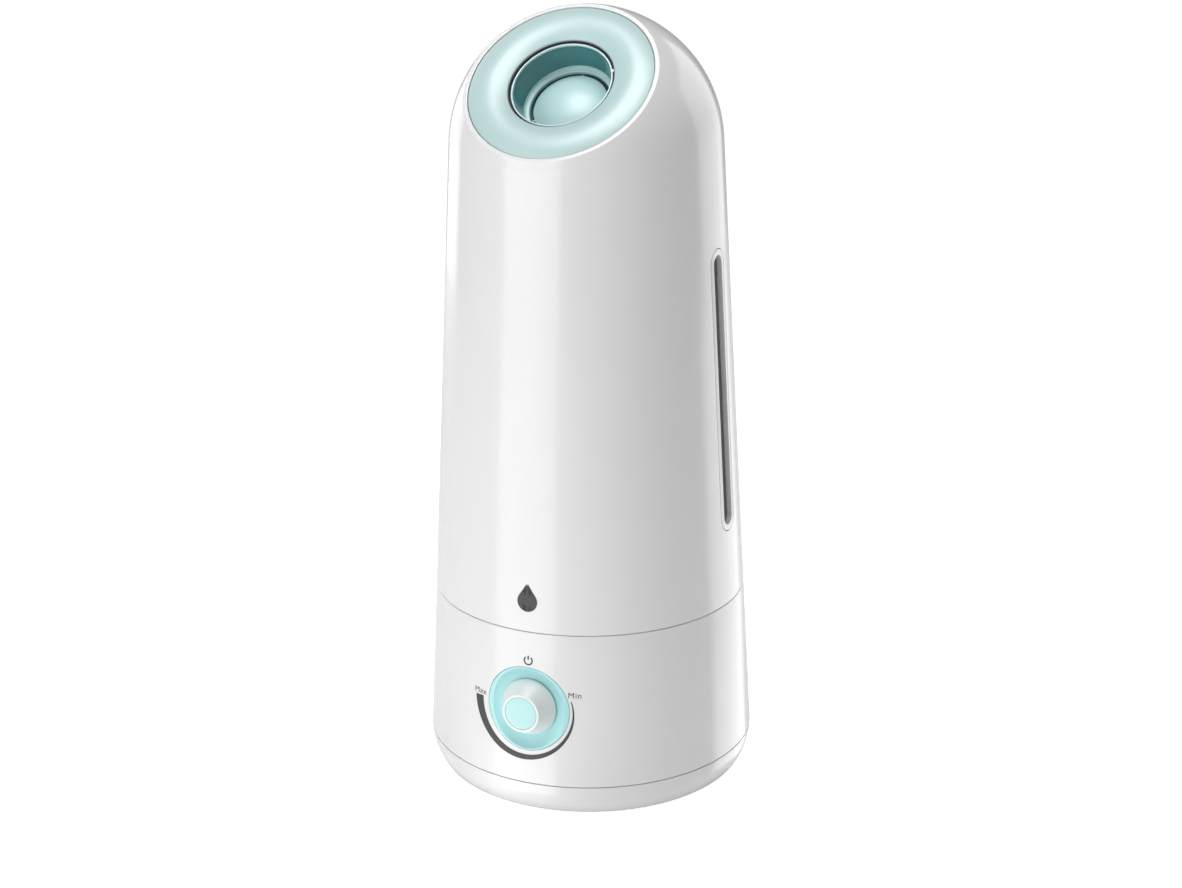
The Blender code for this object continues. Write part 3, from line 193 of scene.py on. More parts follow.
def addSheet(name, first, last, bright):
    # a glowing sheet that only the gloss and the bounce light see
    sheet = startMesh(name)
    for away in (studio["sheetNear"], studio["sheetFar"]):
        spots = []
        for i in range(9):
            facing = math.radians(first + (last - first) * i / 8)
            wall = math.radians(viewFrom["around"]) + facing
            start = Vector((math.sin(wall), -math.cos(wall), 0.0)) * baseHigh.x
            spots.append(start + Vector((math.sin(wall + facing), -math.cos(wall + facing), 0.0)) * away)
            spots[-1].z = 0.0005
        drawLine(spots)
    bpy.ops.mesh.select_all(action="SELECT")
    bpy.ops.mesh.bridge_edge_loops()
    bpy.ops.object.mode_set(mode="OBJECT")
    material = bpy.data.materials.new(name)
    material.use_nodes = True
    shader = material.node_tree.nodes["Principled BSDF"]
    shader.inputs["Emission Color"].default_value = (1.0, 1.0, 1.0, 1.0)
    shader.inputs["Emission Strength"].default_value = bright
    sheet.data.materials.append(material)
    sheet.visible_camera = False
    sheet.visible_shadow = False


def addSoftbox(name, spot, target, wide, tall, watts):
    data = bpy.data.lights.new(name, "AREA")
    data.shape = "RECTANGLE"
    data.size = wide
    data.size_y = tall
    data.energy = watts
    light = bpy.data.objects.new(name, data)
    bpy.context.scene.collection.objects.link(light)
    light.location = spot
    light.rotation_euler = (target - spot).to_track_quat("-Z", "Y").to_euler()


def floorPaint():
    material = bpy.data.materials.new("paleFloor")
    material.use_nodes = True
    tree = material.node_tree
    shader = tree.nodes["Principled BSDF"]
    shader.inputs["Base Color"].default_value = (0.90, 0.90, 0.90, 1.0)
    shader.inputs["Roughness"].default_value = 0.9
    shader.inputs["Emission Strength"].default_value = 1.0
    path = tree.nodes.new("ShaderNodeLightPath")
    glow = tree.nodes.new("ShaderNodeMix")
    glow.data_type = "RGBA"
    for socket, grey in (("A", studio["floorGlow"]), ("B", studio["floorSeen"])):
        glow.inputs[socket].default_value = (grey, grey, grey, 1.0)
    tree.links.new(path.outputs["Is Camera Ray"], glow.inputs["Factor"])
    tree.links.new(glow.outputs["Result"], shader.inputs["Emission Color"])
    return material


# shader groups

def newGroup(name, inputs, outputs):
    group = bpy.data.node_groups.new(name, "ShaderNodeTree")
    for label, value, low, high in inputs:
        socket = group.interface.new_socket(name=label, in_out="INPUT", socket_type="NodeSocketFloat")
        socket.default_value = value
        socket.min_value = low
        socket.max_value = high
    for label, kind in outputs:
        group.interface.new_socket(name=label, in_out="OUTPUT", socket_type=kind)
    entry = group.nodes.new("NodeGroupInput")
    leave = group.nodes.new("NodeGroupOutput")
    return group, entry, leave


def mouldedGrainGroup():
    # the fine skin of injection-moulded plastic: peel, spark-eroded grain and slow flow marks
    group, entry, leave = newGroup(
        "mouldedGrain",
        [
            ("Grain Size", 2600.0, 10.0, 9000.0),
            ("Flow Size", 22.0, 0.5, 300.0),
            ("Grain Share", 0.35, 0.0, 1.0),
        ],
        [("Height", "NodeSocketFloat"), ("Flow", "NodeSocketFloat")],
    )
    links = group.links
    where = group.nodes.new("ShaderNodeTexCoord")
    grain = group.nodes.new("ShaderNodeTexNoise")
    grain.inputs["Detail"].default_value = 3.0
    peel = group.nodes.new("ShaderNodeTexNoise")
    peel.inputs["Scale"].default_value = 320.0
    peel.inputs["Detail"].default_value = 1.0
    flow = group.nodes.new("ShaderNodeTexNoise")
    flow.inputs["Detail"].default_value = 4.0
    flow.inputs["Distortion"].default_value = 0.6
    links.new(entry.outputs["Grain Size"], grain.inputs["Scale"])
    links.new(entry.outputs["Flow Size"], flow.inputs["Scale"])
    for noise in (grain, peel, flow):
        links.new(where.outputs["Object"], noise.inputs["Vector"])
    blend = group.nodes.new("ShaderNodeMix")
    blend.data_type = "FLOAT"
    links.new(entry.outputs["Grain Share"], blend.inputs["Factor"])
    links.new(peel.outputs["Fac"], blend.inputs["A"])
    links.new(grain.outputs["Fac"], blend.inputs["B"])
    links.new(blend.outputs["Result"], leave.inputs["Height"])
    links.new(flow.outputs["Fac"], leave.inputs["Flow"])
    return group


def settledDustGroup():
    # a thin haze on faces that look up, broken by noise
    group, entry, leave = newGroup(
        "settledDust",
        [("Amount", 0.12, 0.0, 1.0), ("Speck Size", 420.0, 1.0, 4000.0)],
        [("Mask", "NodeSocketFloat")],
    )
    links = group.links
    where = group.nodes.new("ShaderNodeTexCoord")
    facing = group.nodes.new("ShaderNodeNewGeometry")
    split = group.nodes.new("ShaderNodeSeparateXYZ")
    links.new(facing.outputs["Normal"], split.inputs["Vector"])
    upward = group.nodes.new("ShaderNodeMapRange")
    upward.inputs["From Min"].default_value = 0.55
    upward.inputs["From Max"].default_value = 1.0
    links.new(split.outputs["Z"], upward.inputs["Value"])
    specks = group.nodes.new("ShaderNodeTexNoise")
    specks.inputs["Detail"].default_value = 5.0
    links.new(where.outputs["Object"], specks.inputs["Vector"])
    links.new(entry.outputs["Speck Size"], specks.inputs["Scale"])
    both = group.nodes.new("ShaderNodeMath")
    both.operation = "MULTIPLY"
    links.new(upward.outputs["Result"], both.inputs[0])
    links.new(specks.outputs["Fac"], both.inputs[1])
    share = group.nodes.new("ShaderNodeMath")
    share.operation = "MULTIPLY"
    links.new(both.outputs["Value"], share.inputs[0])
    links.new(entry.outputs["Amount"], share.inputs[1])
    links.new(share.outputs["Value"], leave.inputs["Mask"])
    return group


grainGroup = mouldedGrainGroup()
dustGroup = settledDustGroup()


# materials

def plasticFinish(name, look):
    # glossy or satin plastic with grain, flow marks, uneven gloss and a little dust
    material = bpy.data.materials.new(name)
    material.use_nodes = True
    tree = material.node_tree
    links = tree.links
    shader = tree.nodes["Principled BSDF"]
    shader.inputs["IOR"].default_value = look.get("ior", 1.5)
    shader.inputs["Coat Weight"].default_value = look.get("coat", 0.0)
    shader.inputs["Coat Roughness"].default_value = look.get("coatRoughness", 0.08)
    shader.inputs["Metallic"].default_value = look.get("metal", 0.0)
    shader.inputs["Subsurface Weight"].default_value = look.get("depth", 0.0)
    shader.inputs["Subsurface Radius"].default_value = (0.004, 0.004, 0.004)
    shader.inputs["Subsurface Scale"].default_value = 1.0
    shader.inputs["Transmission Weight"].default_value = look.get("clear", 0.0)
    grain = tree.nodes.new("ShaderNodeGroup")
    grain.node_tree = grainGroup
    grain.inputs["Grain Size"].default_value = look.get("grainSize", 2600.0)
    grain.inputs["Flow Size"].default_value = look.get("flowSize", 22.0)
    grain.inputs["Grain Share"].default_value = look.get("grainShare", 0.35)
    dust = tree.nodes.new("ShaderNodeGroup")
    dust.node_tree = dustGroup
    dust.inputs["Amount"].default_value = look.get("dust", 0.08)
    tint = tree.nodes.new("ShaderNodeMix")
    tint.data_type = "RGBA"
    tint.inputs["A"].default_value = (*look["colour"], 1.0)
    tint.inputs["B"].default_value = (*look["shade"], 1.0)
    links.new(grain.outputs["Flow"], tint.inputs["Factor"])
    haze = tree.nodes.new("ShaderNodeMix")
    haze.data_type = "RGBA"
    haze.inputs["B"].default_value = (0.62, 0.61, 0.59, 1.0)
    links.new(dust.outputs["Mask"], haze.inputs["Factor"])
    links.new(tint.outputs["Result"], haze.inputs["A"])
    links.new(haze.outputs["Result"], shader.inputs["Base Color"])
    gloss = tree.nodes.new("ShaderNodeMapRange")
    low, high = look["roughness"]
    gloss.inputs["To Min"].default_value = low
    gloss.inputs["To Max"].default_value = high
    links.new(grain.outputs["Flow"], gloss.inputs["Value"])
    links.new(gloss.outputs["Result"], shader.inputs["Roughness"])
    bump = tree.nodes.new("ShaderNodeBump")
    bump.inputs["Strength"].default_value = look.get("bump", 0.04)
    bump.inputs["Distance"].default_value = 0.0002
    links.new(grain.outputs["Height"], bump.inputs["Height"])
    links.new(bump.outputs["Normal"], shader.inputs["Normal"])
    return material


finishes = {
    "whiteGloss": {"colour": (0.76, 0.76, 0.76), "shade": (0.735, 0.735, 0.74), "roughness": (0.20, 0.27),
                   "coat": 1.0, "coatRoughness": 0.14, "ior": 1.6, "bump": 0.02},
    "whiteSatin": {"colour": (0.76, 0.77, 0.77), "shade": (0.72, 0.73, 0.735), "roughness": (0.42, 0.55),
                   "bump": 0.12, "grainShare": 0.8},
    "mintGloss": {"colour": (0.44, 0.59, 0.59), "shade": (0.41, 0.57, 0.57), "roughness": (0.38, 0.48),
                  "coat": 0.9, "coatRoughness": 0.30, "ior": 1.7, "bump": 0.16, "grainShare": 0.7},
    "mintSatin": {"colour": (0.44, 0.77, 0.78), "shade": (0.41, 0.75, 0.76), "roughness": (0.30, 0.42),
                  "bump": 0.08, "grainShare": 0.7},
    "mintBright": {"colour": (0.50, 0.79, 0.78), "shade": (0.47, 0.77, 0.76), "roughness": (0.32, 0.44),
                   "bump": 0.08, "grainShare": 0.7},
    # mintPaintedShade: the mint darkened, as painted shade for the deep inside of the nozzle cup
    "mintPaintedShade": {"colour": (0.050, 0.22, 0.23), "shade": (0.035, 0.18, 0.19), "roughness": (0.20, 0.28),
                 "coat": 0.4, "coatRoughness": 0.15, "bump": 0.02},
    # mintPaintedHighlight: the mint made paler, as a painted highlight along the nozzle's lip
    "mintPaintedHighlight": {"colour": (0.66, 0.83, 0.83), "shade": (0.62, 0.81, 0.81), "roughness": (0.16, 0.22),
                "coat": 1.0, "bump": 0.02},
    "mintDome": {"colour": (0.48, 0.69, 0.69), "shade": (0.44, 0.66, 0.66), "roughness": (0.36, 0.44),
                 "coat": 0.5, "coatRoughness": 0.36, "ior": 1.7, "bump": 0.04},
    "pearlPaint": {"colour": (0.86, 0.82, 0.81), "shade": (0.70, 0.79, 0.79), "roughness": (0.36, 0.46),
                   "coat": 0.3, "coatRoughness": 0.3, "metal": 0.06, "flowSize": 150.0, "bump": 0.06},
    "blackRubber": {"colour": (0.035, 0.035, 0.036), "shade": (0.022, 0.022, 0.023),
                    "roughness": (0.70, 0.88), "bump": 0.35, "grainShare": 0.9, "dust": 0.2},
    "clearSilicone": {"colour": (0.62, 0.65, 0.65), "shade": (0.56, 0.59, 0.60), "roughness": (0.40, 0.52),
                      "bump": 0.08},
    "blackPlastic": {"colour": (0.028, 0.028, 0.03), "shade": (0.02, 0.02, 0.022), "roughness": (0.34, 0.5),
                     "bump": 0.15, "grainShare": 0.8},
    "smokedLens": {"colour": (0.040, 0.041, 0.042), "shade": (0.028, 0.029, 0.030), "roughness": (0.22, 0.30),
                   "coat": 0.3, "coatRoughness": 0.12, "bump": 0.01},
    "printInk": {"colour": (0.050, 0.051, 0.054), "shade": (0.040, 0.041, 0.044), "roughness": (0.40, 0.55),
                 "bump": 0.05},
    "boardLacquer": {"colour": (0.02, 0.16, 0.07), "shade": (0.015, 0.12, 0.055), "roughness": (0.25, 0.4)},
    "copperWinding": {"colour": (0.55, 0.24, 0.10), "shade": (0.42, 0.17, 0.07), "roughness": (0.25, 0.4),
                      "metal": 0.9, "flowSize": 900.0},
    "turnedSteel": {"colour": (0.56, 0.56, 0.57), "shade": (0.46, 0.46, 0.47), "roughness": (0.22, 0.36),
                    "metal": 1.0, "flowSize": 400.0},
    "castAluminium": {"colour": (0.68, 0.69, 0.70), "shade": (0.58, 0.59, 0.60), "roughness": (0.34, 0.5),
                      "metal": 1.0, "flowSize": 260.0, "bump": 0.15},
    "discCeramic": {"colour": (0.72, 0.66, 0.50), "shade": (0.64, 0.58, 0.44), "roughness": (0.28, 0.4)},
}
paints = {name: plasticFinish(name, look) for name, look in finishes.items()}
slotPaint = {
    "white_shell": "whiteGloss",
    "inner_white": "whiteSatin",
    "mint": "mintGloss",
    "pearl": "pearlPaint",
    "foot_rubber": "blackRubber",
    "silicone": "clearSilicone",
    "black_plastic": "blackPlastic",
    "smoked_lens": "smokedLens",
    "board_green": "boardLacquer",
    "copper": "copperWinding",
    "steel": "turnedSteel",
    "aluminium": "castAluminium",
    "disc_ceramic": "discCeramic",
}
nodeSlot = {row["node"]: row["material_slot"] for row in frame["record"]["subparts"]}
print("materials made:", len(paints))


# modelling helpers

def clearPick():
    if bpy.context.object and bpy.context.object.mode != "OBJECT":
        bpy.ops.object.mode_set(mode="OBJECT")
    bpy.ops.object.select_all(action="DESELECT")


def pick(piece):
    clearPick()
    piece.select_set(True)
    bpy.context.view_layer.objects.active = piece


def softOutline(corners, steps=5):
    # corners are (radius, height, rounding); each one with a rounding becomes an arc
    spots = [Vector(corner[:2]) for corner in corners]
    line = []
    for i, (*_, rounding) in enumerate(corners):
        if rounding <= 0 or i == 0 or i == len(corners) - 1:
            line.append(spots[i])
            continue
        toBefore = spots[i - 1] - spots[i]
        toAfter = spots[i + 1] - spots[i]
        half = toBefore.angle(toAfter) / 2
        reach = min(rounding / math.tan(half), 0.48 * toBefore.length, 0.48 * toAfter.length)
        radius = reach * math.tan(half)
        toBefore.normalize()
        toAfter.normalize()
        centre = spots[i] + (toBefore + toAfter).normalized() * (radius / math.sin(half))
        first = spots[i] + toBefore * reach - centre
        last = spots[i] + toAfter * reach - centre
        for k in range(steps + 1):
            line.append(centre + first.lerp(last, k / steps).normalized() * radius)
    return line


def startMesh(name):
    # an empty mesh, open in edit mode
    clearPick()
    bpy.ops.mesh.primitive_plane_add(size=0.002)
    piece = bpy.context.object
    piece.name = name
    piece.data.name = name
    bpy.ops.object.mode_set(mode="EDIT")
    bpy.ops.mesh.select_mode(type="VERT")
    bpy.ops.mesh.select_all(action="SELECT")
    bpy.ops.mesh.delete(type="VERT")
    return piece


def drawLine(spots):
    # one vertex pulled from spot to spot
    bpy.ops.mesh.select_all(action="DESELECT")
    bpy.ops.mesh.primitive_plane_add(size=0.002, location=spots[0])
    bpy.ops.mesh.merge(type="CENTER")
    for here, there in zip(spots, spots[1:]):
        bpy.ops.mesh.extrude_vertices_move(TRANSFORM_OT_translate={"value": there - here})


def spinOutline(name, line, steps=96, closed=True):
    # an outline in the x-z plane, spun round z as on a lathe
    piece = startMesh(name)
    spots = [Vector((spot.x, 0.0, spot.y)) for spot in line]
    if closed:
        spots.append(spots[0])
    drawLine(spots)
    bpy.ops.mesh.select_all(action="SELECT")
    bpy.ops.mesh.spin(steps=steps, angle=fullTurn, center=(0.0, 0.0, 0.0), axis=(0.0, 0.0, 1.0))
    bpy.ops.mesh.select_all(action="SELECT")
    bpy.ops.mesh.remove_doubles(threshold=0.000002)
    bpy.ops.mesh.normals_make_consistent(inside=False)
    bpy.ops.object.mode_set(mode="OBJECT")
    return piece


def copyTo(piece, name, x, y):
    twin = piece.copy()
    twin.data = piece.data.copy()
    twin.name = name
    twin.data.name = name
    bpy.context.scene.collection.objects.link(twin)
    return settle(twin, Matrix.Translation((x, y, 0.0)))


def settle(piece, matrix):
    piece.matrix_world = matrix
    pick(piece)
    bpy.ops.object.transform_apply(location=True, rotation=True, scale=True)
    return piece


def applyModifier(piece, kind, **values):
    pick(piece)
    modifier = piece.modifiers.new(kind.lower(), kind)
    for key, value in values.items():
        setattr(modifier, key, value)
    bpy.ops.object.modifier_apply(modifier=modifier.name)


def carve(piece, tool, operation="DIFFERENCE"):
    applyModifier(piece, "BOOLEAN", object=tool, operation=operation, solver="EXACT")
    bpy.data.objects.remove(tool, do_unlink=True)


def softenEdges(piece, width, segments=3, angle=35):
    applyModifier(
        piece, "BEVEL", width=width, segments=segments, limit_method="ANGLE",
        angle_limit=math.radians(angle), use_clamp_overlap=True, harden_normals=False,
    )


def roundBar(name, radius, low, high, spot, steps=48):
    clearPick()
    bpy.ops.mesh.primitive_cylinder_add(
        vertices=steps, radius=radius, depth=high - low, location=(spot[0], spot[1], (low + high) / 2)
    )
    bar = bpy.context.object
    bar.name = name
    bpy.ops.object.transform_apply(location=True, rotation=True, scale=True)
    return bar


def blockBetween(name, low, high):
    clearPick()
    middle = [(a + b) / 2 for a, b in zip(low, high)]
    bpy.ops.mesh.primitive_cube_add(size=1.0, location=middle)
    block = bpy.context.object
    block.name = name
    block.scale = [b - a for a, b in zip(low, high)]
    bpy.ops.object.transform_apply(location=True, rotation=True, scale=True)
    return block


def joinInto(piece, others):
    pick(piece)
    for other in others:
        other.select_set(True)
    bpy.ops.object.join()
    return piece


def handIn(piece, body, slot, paint, *stoodFor, smooth=32):
    pick(piece)
    bpy.ops.object.shade_smooth_by_angle(angle=math.radians(smooth))
    piece.data.materials.clear()
    piece.data.materials.append(paints[paint])
    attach(piece, body)
    if stoodFor:
        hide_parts(*stoodFor)
    return piece


# tank: tapered wall and dome, with the slanted rim

tankShape = {
    "wall": 0.0025,
    "footRound": 0.0006,
    "rimRound": 0.0011,
    "bandDepth": 0.0050,     # how far the rim's band reaches down the dome
    "bandGap": 0.0009,
    "domeSteps": 34,
    "steps": 180,
}


def domeLine(radius, steps):
    line = []
    for i in range(steps + 1):
        angle = math.pi / 2 + (lean - math.pi / 2) * i / steps
        line.append(Vector((radius * math.cos(angle), headSpot.z + radius * math.sin(angle))))
    return line


def wallLine(low, high, inset, count):
    line = []
    for i in range(1, count + 1):
        z = high + (low - high) * i / count
        line.append(Vector((skinAt(z) - inset, z)))
    return line


def sphereArc(radius, fromH, toH, count):
    line = []
    first = math.asin(fromH / radius)
    last = math.asin(toH / radius)
    for i in range(count + 1):
        angle = first + (last - first) * i / count
        line.append(Vector((radius * math.cos(angle), radius * math.sin(angle))))
    return line


def boundaryLoops(mesh):
    uses = {}
    for face in mesh.polygons:
        for key in face.edge_keys:
            uses[key] = uses.get(key, 0) + 1
    return {key for key, count in uses.items() if count == 1}


def bridgeNear(piece, low, high):
    # joins the two open rings whose distance from the dome's centre lies between low and high
    mesh = piece.data
    openEdges = boundaryLoops(mesh)
    pick(piece)
    bpy.ops.object.mode_set(mode="EDIT")
    bpy.ops.mesh.select_mode(type="EDGE")
    bpy.ops.mesh.select_all(action="DESELECT")
    bpy.ops.object.mode_set(mode="OBJECT")
    for edge in mesh.edges:
        if tuple(sorted(edge.vertices)) in openEdges:
            away = [(mesh.vertices[i].co - headSpot).length for i in edge.vertices]
            edge.select = low < min(away) and max(away) < high
    bpy.ops.object.mode_set(mode="EDIT")
    bpy.ops.mesh.bridge_edge_loops()
    bpy.ops.object.mode_set(mode="OBJECT")


def makeTank():
    wall = tankShape["wall"]
    innerRadius = domeRadius - wall
    slantedWall = wall / math.cos(lean)
    low = tankLow.z
    outer = domeLine(domeRadius, tankShape["domeSteps"])
    outer += wallLine(low + 0.002, outer[-1].y, 0.0, 24)
    foot = softOutline(
        [
            (skinAt(low + 0.002), low + 0.002, 0.0),
            (skinAt(low), low, tankShape["footRound"]),
            (skinAt(low) - slantedWall, low, tankShape["footRound"]),
            (skinAt(low + 0.002) - slantedWall, low + 0.002, 0.0),
        ],
        4,
    )[1:]
    inner = domeLine(innerRadius, tankShape["domeSteps"])
    inner += wallLine(low + 0.002, inner[-1].y, slantedWall, 24)[:-1]
    tank = spinOutline("tankShell", outer + foot + list(reversed(inner)), tankShape["steps"], closed=False)

    rimHigh = shellSpan["high"]
    cutHigh = rimHigh - tankShape["bandDepth"]
    normal = headMatrix.to_3x3() @ Vector((0.0, 0.0, 1.0))
    pick(tank)
    bpy.ops.object.mode_set(mode="EDIT")
    bpy.ops.mesh.select_all(action="SELECT")
    bpy.ops.mesh.bisect(plane_co=headSpot + normal * cutHigh, plane_no=normal, clear_outer=True)
    bpy.ops.object.mode_set(mode="OBJECT")

    start = cutHigh + tankShape["bandGap"]
    rimOuter = math.sqrt(domeRadius ** 2 - rimHigh ** 2)
    seat = ringSpan["outer"] + hairline
    seatLow = math.sqrt(innerRadius ** 2 - seat ** 2)
    outside = sphereArc(domeRadius, start, rimHigh - 0.0012, 6)
    edge = softOutline(
        [
            (*outside[-1], 0.0),
            (rimOuter, rimHigh, tankShape["rimRound"]),
            (seat, rimHigh, 0.0005),
            (seat, seatLow, 0.0),
        ],
        6,
    )[1:]
    inside = sphereArc(innerRadius, seatLow, start, 6)[1:]
    band = spinOutline("rimBand", outside + edge + inside, tankShape["steps"], closed=False)
    settle(band, headMatrix)
    joinInto(tank, [band])
    middle = (domeRadius + innerRadius) / 2
    bridgeNear(tank, middle, domeRadius * 1.1)
    bridgeNear(tank, innerRadius * 0.9, middle)
    pick(tank)
    bpy.ops.object.mode_set(mode="EDIT")
    bpy.ops.mesh.select_all(action="SELECT")
    bpy.ops.mesh.remove_doubles(threshold=0.000004)
    bpy.ops.mesh.normals_make_consistent(inside=False)
    bpy.ops.object.mode_set(mode="OBJECT")
    half = windowSize["half"] + windowSize["gap"]
    carve(tank, windowSlot("tankSlot", half, windowSize["length"] + 2 * windowSize["gap"]))
    return handIn(tank, "tank", "white_shell", "whiteGloss", "tank_shell")


# window in the tank's side

bezelLow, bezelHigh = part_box("window_bezel")
windowMid = (bezelLow + bezelHigh) / 2
windowSize = {
    "half": (bezelHigh.y - bezelLow.y) / 2,
    "length": (bezelHigh.z - bezelLow.z) / math.cos(lean),
    "bezel": 0.00345,
    "recess": 0.0030,
    "lensThick": 0.0015,
    "edge": 0.0005,
    "gap": 0.00045,
}
windowTurn = math.atan2(windowMid.y, windowMid.x)
windowMatrix = (
    Matrix.Rotation(windowTurn, 4, "Z")
    @ Matrix.Translation((skinAt(windowMid.z), 0.0, windowMid.z))
    @ Matrix.Rotation(-lean, 4, "Y")
)


def windowSlot(name, half, length, reach=0.025):
    # a long block with fully round ends, across the wall
    clearPick()
    bpy.ops.mesh.primitive_circle_add(vertices=64, radius=half, fill_type="NGON")
    slot = bpy.context.object
    slot.name = name
    bpy.ops.object.mode_set(mode="OBJECT")
    for vertex in slot.data.vertices:
        shift = length / 2 - half
        if abs(vertex.co.y) > half * 0.0001:
            vertex.co.y += shift if vertex.co.y > 0 else -shift
    bpy.ops.object.mode_set(mode="EDIT")
    bpy.ops.mesh.select_all(action="SELECT")
    bpy.ops.mesh.extrude_region_move(TRANSFORM_OT_translate={"value": (0.0, 0.0, 2 * reach)})
    bpy.ops.mesh.select_all(action="SELECT")
    bpy.ops.mesh.normals_make_consistent(inside=False)
    bpy.ops.object.mode_set(mode="OBJECT")
    lay = Matrix.Rotation(math.pi / 2, 4, "Y") @ Matrix.Rotation(math.pi / 2, 4, "Z")
    return settle(slot, windowMatrix @ Matrix.Translation((-reach, 0.0, 0.0)) @ lay)


def wallBand(name, outerDepth, innerDepth):
    low = bezelLow.z - 0.004
    high = bezelHigh.z + 0.004
    line = []
    for z, depth in ((high, outerDepth), (low, outerDepth), (low, innerDepth), (high, innerDepth)):
        line.append(Vector((skinAt(z) - depth, z)))
    return spinOutline(name, line, 360)


def makeWindow():
    opening = windowSize["half"] - windowSize["bezel"]
    openLength = windowSize["length"] - 2 * windowSize["bezel"]
    bezel = windowSlot("windowBezel", windowSize["half"], windowSize["length"])
    carve(bezel, wallBand("bezelBand", 0.0, 0.005), "INTERSECT")
    carve(bezel, windowSlot("bezelHole", opening, openLength))
    softenEdges(bezel, windowSize["edge"], 3)
    handIn(bezel, "tank", "white_shell", "whiteGloss", "window_bezel", smooth=40)

    lens = windowSlot("windowLens", opening - hairline, openLength - 2 * hairline)
    depth = windowSize["recess"]
    carve(lens, wallBand("lensBand", depth, depth + windowSize["lensThick"]), "INTERSECT")
    softenEdges(lens, 0.0002, 2)
    handIn(lens, "tank", "smoked_lens", "smokedLens", "window_lens", smooth=40)


# base shell and pan

baseShape = {"wall": 0.0025, "edgeRound": 0.0006, "ledgeDrop": 0.0074, "ledgeWidth": 0.0035, "steps": 180}
panShape = {"wall": 0.0025, "edgeRound": 0.0005, "turn": 34.4, "edgeInset": 0.0061, "steps": 144}


def makeBase():
    wall = baseShape["wall"] / math.cos(lean)
    top = tankLow.z - hairline
    low = baseLow.z
    ledge = baseHigh.z - baseShape["ledgeDrop"]
    ledgeRadius = skinAt(ledge) - wall - baseShape["ledgeWidth"]
    corners = [
        (skinAt((low + top) / 2), (low + top) / 2, 0.0),
        (skinAt(low), low, baseShape["edgeRound"]),
        (skinAt(low) - wall, low, 0.0004),
        (skinAt(ledge - 0.0075) - wall, ledge - 0.0075, 0.0015),
        (ledgeRadius, ledge - 0.0025, 0.0004),
        (ledgeRadius, ledge, 0.0004),
        (skinAt(ledge) - wall, ledge, 0.0006),
        (skinAt(top) - wall, top, 0.0005),
        (skinAt(top), top, baseShape["edgeRound"]),
    ]
    closed = [*corners, (*corners[0][:2], 0.0)]
    shell = spinOutline("baseShell", softOutline(closed, 4)[:-1], baseShape["steps"])
    opening = roundBar("knobOpening", dishSpan["outer"] + hairline, -0.015, 0.01, (0.0, 0.0), 128)
    carve(shell, settle(opening, dialMatrix))
    inletHole = roundBar("inletOpening", inletSpan["shank"] + hairline, -0.0075, 0.012, (0.0, 0.0), 48)
    carve(shell, settle(inletHole, inletMatrix))
    handIn(shell, "base", "white_shell", "whiteGloss", "base_shell", smooth=35)


panLow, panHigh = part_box("bottom_pan")
fanLow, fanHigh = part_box("fan_frame")


def makePan():
    seam = baseLow.z - hairline
    turn = math.radians(panShape["turn"])
    tall = (seam - panLow.z) / math.sin(turn)
    wide = panShape["edgeInset"] / (1 - math.cos(turn))
    outer = panHigh.x
    curve = []
    for i in range(13):
        a = turn * i / 12
        curve.append((outer - wide * (1 - math.cos(a)), seam - tall * math.sin(a), 0.0))
    edgeX, edgeZ = curve[-1][:2]
    curve[-1] = (edgeX, edgeZ, 0.0014)
    wall = panShape["wall"]
    tongue = skinAt(panHigh.z) - wall - 2 * hairline
    corners = [
        (0.0, panLow.z + wall, 0.0),
        (tongue - 0.009, panLow.z + wall, 0.002),
        (tongue - 0.0015, panLow.z + 0.010, 0.002),
        (tongue - 0.0015, panHigh.z, 0.0003),
        (tongue, panHigh.z, 0.0004),
        (tongue, seam, 0.0),
        *curve,
        (0.0, panLow.z, 0.0),
    ]
    pan = spinOutline("bottomPan", softOutline(corners, 4), panShape["steps"], closed=False)
    slotCount = 5
    fanX = (fanLow.x + fanHigh.x) / 2
    for i in range(slotCount):
        y = (i - (slotCount - 1) / 2) * 0.0065
        cutter = blockBetween(
            "panSlot", (fanX - 0.018, y - 0.0015, -0.001), (fanX + 0.018, y + 0.0015, 0.007)
        )
        carve(pan, cutter)
    for screw in screwNodes:
        low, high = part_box(screw)
        spot = ((low.x + high.x) / 2, (low.y + high.y) / 2)
        carve(pan, roundBar("screwHole", (high.x - low.x) / 2 + hairline, -0.001, low.z + 0.0025, spot, 32))
    for foot in footNodes:
        low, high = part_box(foot)
        spot = ((low.x + high.x) / 2, (low.y + high.y) / 2)
        pocket = (high.x - low.x) / 2 + hairline
        carve(pan, roundBar("footPocket", pocket, -0.001, high.z + hairline, spot, 48))
    handIn(pan, "base", "white_shell", "whiteGloss", "bottom_pan")


footNodes = ("foot_front_left", "foot_front_right", "foot_rear_left", "foot_rear_right")
footShape = {"edge": 0.0009, "grooves": 2}


def makeFeet():
    low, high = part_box(footNodes[0])
    radius = (high.x - low.x) / 2
    corners = [(0.0, high.z, 0.0), (radius, high.z, 0.0003), (radius, low.z, footShape["edge"])]
    groove = radius / (footShape["grooves"] + 2)
    for i in range(footShape["grooves"]):
        at = radius - groove * (i + 1.2)
        corners += [(at, low.z, 0.0002), (at - 0.0003, low.z + 0.0004, 0.0002), (at - 0.0006, low.z, 0.0002)]
    corners.append((0.0, low.z, 0.0))
    pad = spinOutline("footPad", softOutline(corners, 4), 48, closed=False)
    for node in footNodes:
        low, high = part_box(node)
        twin = copyTo(pad, node.replace("_", "."), (low.x + high.x) / 2, (low.y + high.y) / 2)
        handIn(twin, "base", "foot_rubber", "blackRubber", node)
    bpy.data.objects.remove(pad, do_unlink=True)


screwNodes = ("pan_screw_1", "pan_screw_2", "pan_screw_3", "pan_screw_4")
screwShape = {"head": 0.0020, "crossShare": 0.62, "crossWide": 0.0003, "crossDeep": 0.0011}


